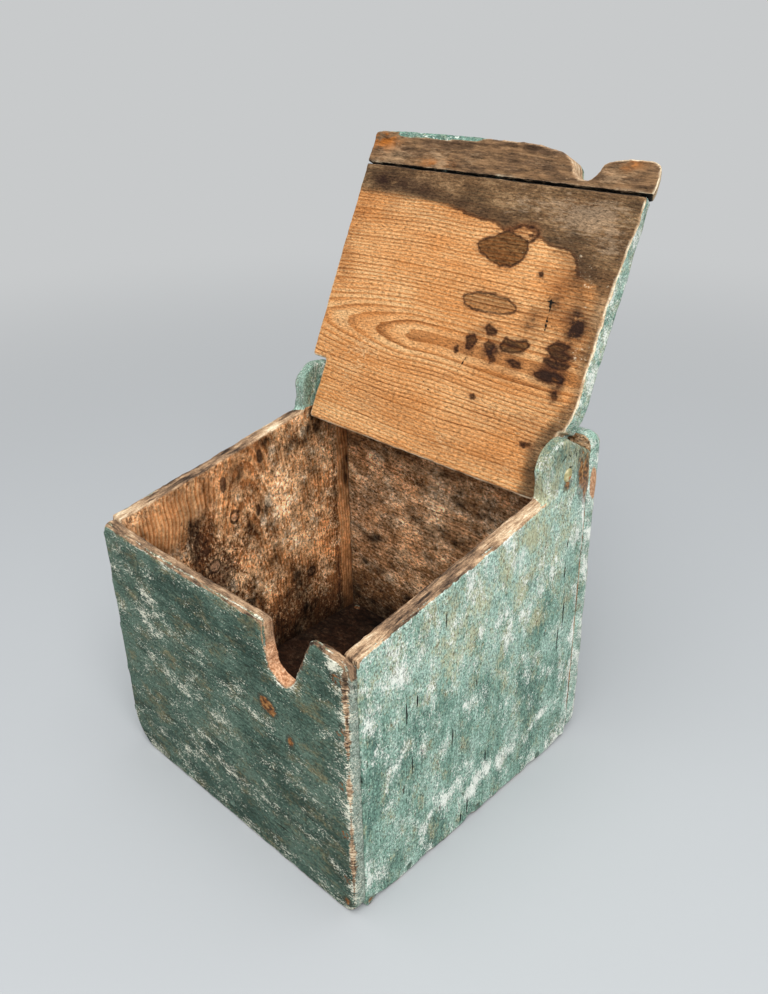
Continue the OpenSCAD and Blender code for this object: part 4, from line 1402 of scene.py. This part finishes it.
def make_lid_board():
    outline = ragged(resample(rounded(LID_BOARD), 1.2), 0.3, 9, 81)
    deep = tongue - peg_reach_in + 1
    bores = [((side * tongue, 0, 0), (1, 0, 0), PEG_HOLE + 0.1, 2 * deep) for side in (-1, 1)]
    board = Board(outline, -LID_T / 2, LID_T / 2, 1.25, bores)
    a, b = board.flat[:, 0], board.flat[:, 1]
    rough = 1 + 0.2 * noise(board.flat, 22, 82)
    side = ease(b, SHOULDER + 1, SHOULDER + 6) * (1 - ease(b, STRIP_JOINT - 5, STRIP_JOINT))
    board.wear((1.2 + 3.2 * side) * rough, (0.8 + 0.9 * side) * rough)
    board.soften()
    # The right edge is bevelled towards the lid's outer face near the front
    out = 0.5 - board.flat[:, 2] / LID_T
    board.points[:, 0] -= 5.5 * out * ease(b, 120, 172) * ease(a, 60, 118)
    board.weather(0.22, 30, 83)
    board.weather(0.24 * np.exp(-board.arris / 4), 4, 84)
    board.points[:, 2] = np.minimum(board.points[:, 2], board.high)
    # What shows on it
    under_depth = board.high - board.flat[:, 2]
    side_edge = ease(b, SHOULDER, SHOULDER + 3)
    thin = 1.1 + 1.0 * noise(board.flat, 9, 85, 2) + 9 * (1 - side_edge)
    outer_arris = np.hypot(board.rim, board.flat[:, 2] - board.low)
    wear_width = 1.0 + 0.9 * noise(board.flat, 12, 86, 2)
    near_rim = np.exp(-(board.rim / 3.5) ** 2)
    tide = region(a, b, TIDE)
    blotch = np.max([region(a, b, outline) for outline in BLOTCHES], axis=0)
    right = ease(a, 96, 116)
    low_right = ease(a, 84, 92) * (1 - ease(b, 120, 130))
    far_left = 1 - ease(a, -80, -45)
    joint = 0.95 - np.abs(b - (STRIP_JOINT + STRIP_BACK) / 2)
    return board, {
        "ring": rings(board, b, a, 60, 0.085, -32, 2.7, 87, 15.6),
        "bare": np.maximum(thin - under_depth, wear_width - outer_arris),
        "inside": (1 - ease(under_depth, 0.6, 1.6)) * ease(board.rim, 0.3, 1.4),
        "light": 1.2 - 2.2 * ease(b, STRIP_JOINT - 5, STRIP_JOINT - 2),
        "tide": tide,
        "stain": np.clip(0.92 - 0.3 * right * (1 - ease(b, 100, 150)), 0, 1),
        "softened": np.maximum(0.85 * low_right, 0.8 * far_left),
        "thinner": 0.45 * ease(region(a, b, BLOTCHES[1]), -2, 0),
        "dust": clouds(a, b, DUST),
        "tideline": ease(a, -60, -20) * (1 - low_right),
        "blotch": np.maximum(blotch, -strokes(a, b, LOOP)),
        "faint": ease(tide, 2, 10) * 0.7,
        "brown": clouds(a, b, LID_BROWN),
        "soot": clouds(a, b, SOOT),
        "specks": clouds(a, b, SPECKS) + 0.5 * right,
        "rubbed": clouds(a, b, scatter(88, 22, (-120, -20), (112, 60), 12)) + 0.5 * right,
        "crack": np.maximum(-strokes(a, b, LID_SCORES), joint),
        "pale": clouds(a, b, scatter(89, 30, (-120, 30), (118, 180), 11)) + 0.9 * near_rim,
        "ochre": clouds(a, b, scatter(90, 16, (-120, 30), (118, 180), 13)) + 0.5 * near_rim,
        "tint": 0.3 - clouds(a, b, scatter(91, 12, (-120, 30), (118, 180), 15)),
    }


def make_lid_strip():
    outline = ragged(resample(rounded(LID_STRIP), 1.0), 0.35, 7, 91)
    board = Board(outline, -LID_T / 2, LID_T / 2, 1.1)
    a, b = board.flat[:, 0], board.flat[:, 1]
    rough = 1 + 0.45 * noise(board.flat, 10, 92)
    joint = 1 - ease(b, STRIP_BACK + 1, STRIP_BACK + 5)
    board.wear((2.4 - 1.6 * joint) * rough, (1.5 - 0.9 * joint) * rough)
    board.soften()
    out = 0.5 - board.flat[:, 2] / LID_T
    board.points[:, 0] -= 8 * out * ease(a, 70, 122)
    board.weather(0.22, 20, 93)
    board.weather(0.3 * np.exp(-board.arris / 4), 4, 94)
    board.points[:, 2] = np.minimum(board.points[:, 2], board.high)
    # What shows on it
    under_depth = board.high - board.flat[:, 2]
    edge_left = (1 - ease(a, -70, -30)) * ease(b, 203, 207)
    paint_from = 3.5 + 3.0 * noise(board.flat, 14, 95, 2) - 3.5 * edge_left + 9 * ease(a, 20, 50)
    outer_arris = np.hypot(board.rim, board.flat[:, 2] - board.low)
    wear_width = 1.4 + 1.0 * noise(board.flat, 10, 96, 2)
    trace = clouds(a, b, STRIP_PAINT)
    bare = np.maximum(paint_from - under_depth, wear_width - outer_arris)
    underside = (1 - ease(under_depth, 0.8, 2.2)) * ease(board.rim, 0.3, 1.4)
    return board, {
        "ring": rings(board, b, a, 120, 0.05, 0, 3.4, 97),
        "bare": bare - 2.5 * trace * (under_depth < 3),
        "inside": underside * (1 - ease(trace, 0.9, 1.6)),
        "light": 0.3 + 0.6 * ease(a, 84, 120),
        "crack": 0.85 - np.abs(b - (STRIP_JOINT + STRIP_BACK) / 2),
        "warm": clouds(a, b, STRIP_WARM),
        "soot": clouds(a, b, STRIP_SOOT),
        "rubbed": clouds(a, b, scatter(98, 14, (-120, 186), (118, 206), 10)),
        "pale": clouds(a, b, scatter(99, 10, (-120, 186), (118, 206), 9)),
        "tint": -1.5 * np.ones(len(a)),
        "ochre": clouds(a, b, scatter(100, 10, (-120, 186), (118, 206), 9)),
    }


lid_board, lid_fields = make_lid_board()
finish_board(lid_board, "lid_board_worn", "lid", "lid_board", "lid_wood", LID_WOOD, LID_PLACE, **lid_fields)
lid_strip, strip_fields = make_lid_strip()
finish_board(
    lid_strip, "lid_strip_worn", "lid", "lid_front_strip", "strip_wood", STRIP_WOOD, LID_PLACE,
    **strip_fields,
)

# Nails and pegs


def solids(node, place):
    """Lowest and highest corner of each separate solid of a CAD node, in a flat frame's millimetres."""
    bm = bmesh.new()
    made = frame["nodes"][node]
    bm.from_mesh(made.data)
    bm.transform((place @ Matrix.Scale(MM, 4)).inverted() @ made.matrix_world)
    bmesh.ops.remove_doubles(bm, verts=bm.verts, dist=0.01)
    left = set(bm.verts)
    boxes = []
    while left:
        found, edge = set(), [left.pop()]
        while edge:
            vert = edge.pop()
            found.add(vert)
            near = {e.other_vert(vert) for e in vert.link_edges} & left
            left -= near
            edge.extend(near)
        places = np.array([vert.co[:] for vert in found])
        boxes.append((places.min(0), places.max(0)))
    bm.free()
    return sorted(boxes, key=lambda box: tuple(np.round(box[0], 2)))


def turned(bm, sections, place, around, seed):
    """A closed form round the Z axis from sections (height, half width, squareness)."""
    chance = np.random.default_rng(seed)
    loops = []
    for height, half, square in sections:
        loop = []
        for i in range(around):
            angle = 2 * math.pi * (i + 0.5) / around
            flat = max(abs(math.cos(angle)), abs(math.sin(angle))) ** square
            reach = half / flat * (1 + 0.04 * chance.uniform(-1, 1))
            corner = Vector((reach * math.cos(angle), reach * math.sin(angle), height))
            loop.append(bm.verts.new(place @ corner))
        loops.append(loop)
    for lower, upper in zip(loops, loops[1:]):
        for i in range(around):
            bm.faces.new((lower[i], lower[i - 1], upper[i - 1], upper[i]))
    bm.faces.new(loops[0])
    bm.faces.new(loops[-1][::-1])


def mesh_of(name, bm):
    """The bmesh as a mesh whose faces all look outward."""
    mesh = bpy.data.meshes.new(name)
    bmesh.ops.recalc_face_normals(bm, faces=bm.faces)
    bm.to_mesh(mesh)
    bm.free()
    return mesh


def nail_sections(length, proud):
    """A cut nail whose head's rim is at 0, domed above it, with a square shank and a chisel point below."""
    head, shank, point = 3.0, 1.3, 6.0
    return [
        (proud, head * 0.35, 0.4), (proud * 0.85, head * 0.72, 0.7), (proud * 0.3, head * 0.95, 0.8),
        (-0.25, head, 0.85), (-1.2, head * 0.92, 0.9), (-1.9, shank * 1.15, 0.9), (-4, shank, 1),
        (point - length, shank, 1), (-length, shank * 0.35, 1),
    ]


def make_nails(node, name, body, place, axis, way, painted, seed, proud):
    """The nails of a node. Each points against way along an axis of the flat frame, its head outermost."""
    bm = bmesh.new()
    outward = Vector([way if i == axis else 0 for i in range(3)])
    for i, (low, high) in enumerate(solids(node, place)):
        centre = (low + high) / 2
        centre[axis] = high[axis] if way > 0 else low[axis]
        turn = Vector((0, 0, 1)).rotation_difference(outward).to_matrix().to_4x4()
        length = high[axis] - low[axis]
        turned(bm, nail_sections(length, proud), Matrix.Translation(Vector(centre)) @ turn, 16, seed + i)
    mesh = mesh_of(name, bm)
    keep(mesh, "painted", np.full(len(mesh.vertices), float(painted)))
    finish_piece(mesh, name, body, node, IRON, place)


# CAD node, piece, body, place, the nails' axis, way out, paint left, seed, how far the heads stand proud
NAIL_ROWS = [
    ("front_nails_right", "front_right_nails", "box", END_PLACE, 2, 1, 0.6, 401, 0.3),
    ("front_nails_left", "front_left_nails", "box", END_PLACE, 2, 1, 1.0, 411, -1.2),
    ("back_nails_left", "back_left_nails", "box", END_PLACE, 2, -1, 0.6, 421, 0.3),
    ("back_nails_right", "back_right_nails", "box", END_PLACE, 2, -1, 0.6, 431, 0.3),
    ("bottom_nails_left", "left_bottom_nails", "box", SIDE_PLACE, 2, -1, 0.8, 441, 0.3),
    ("bottom_nails_right", "right_bottom_nails", "box", SIDE_PLACE, 2, 1, 1.0, 451, 0.3),
    ("bottom_nails_front", "front_bottom_nails", "box", END_PLACE, 2, 1, 1.0, 461, 0.0),
    ("bottom_nails_back", "back_bottom_nails", "box", END_PLACE, 2, -1, 0.6, 471, 0.3),
    ("strip_nails", "strip_edge_nails", "lid", LID_PLACE, 1, 1, -1.0, 481, 0.8),
]
for row in NAIL_ROWS:
    make_nails(*row)

# In degrees from upright, and in millimetres from the back board
FLOOR_NAIL_LEAN = 40
FLOOR_NAIL_SETBACK = 6


def make_floor_nail():
    """The toe nail in the floor's back left corner, slanting down through the bottom into the back."""
    low, high = solids("floor_nail", FLOOR_PLACE)[0]
    tilt = Matrix.Rotation(math.radians(FLOOR_NAIL_LEAN), 4, "X")
    top = Vector(((low[0] + high[0]) / 2, side_back_y - FLOOR_NAIL_SETBACK, floor_top))
    length = (high[2] - low[2]) / math.cos(math.radians(FLOOR_NAIL_LEAN)) - 1.6
    bm = bmesh.new()
    turned(bm, nail_sections(length, 0.5), Matrix.Translation(top) @ tilt, 16, 491)
    mesh = mesh_of("floor_corner_nail", bm)
    finish_piece(mesh, "floor_corner_nail", "box", "floor_nail", IRON)


make_floor_nail()


def make_peg(node, name, way, seed):
    """A whittled peg along X, its outer end domed and level with the ear."""
    low, high = span(node, 0)
    outer = high if way > 0 else low
    length = high - low
    sections = [
        (0.3, PEG_R * 0.4, 0), (0.2, PEG_R * 0.75, 0), (-0.2, PEG_R * 0.95, 0), (-1.0, PEG_R, 0),
        (-length * 0.4, PEG_R * 0.98, 0), (-length + 2.5, PEG_R * 0.96, 0), (-length + 0.8, PEG_R * 0.86, 0),
        (-length, PEG_R * 0.6, 0),
    ]
    turn = Matrix.Rotation(math.radians(90 * way), 4, "Y")
    bm = bmesh.new()
    turned(bm, sections, Matrix.Translation(Vector((outer, peg_y, peg_z))) @ turn, 24, seed)
    mesh = mesh_of(name, bm)
    places = np.empty(len(mesh.vertices) * 3)
    mesh.vertices.foreach_get("co", places)
    places = places.reshape(-1, 3)
    keep(mesh, "painted", np.where(np.abs(places[:, 0] - outer) < 1.5, 1.0, -1.0))
    keep(mesh, "rust", -patch(places[:, 1], places[:, 2], [(peg_y + 2, peg_z - 3, 1.8, 2.6, 20)]))
    keep(mesh, "board", places[:, [1, 2, 0]])
    finish_piece(mesh, name, "box", node, PEG_WOOD)


make_peg("pivot_peg_right", "right_peg", 1, 501)
make_peg("pivot_peg_left", "left_peg", -1, 511)
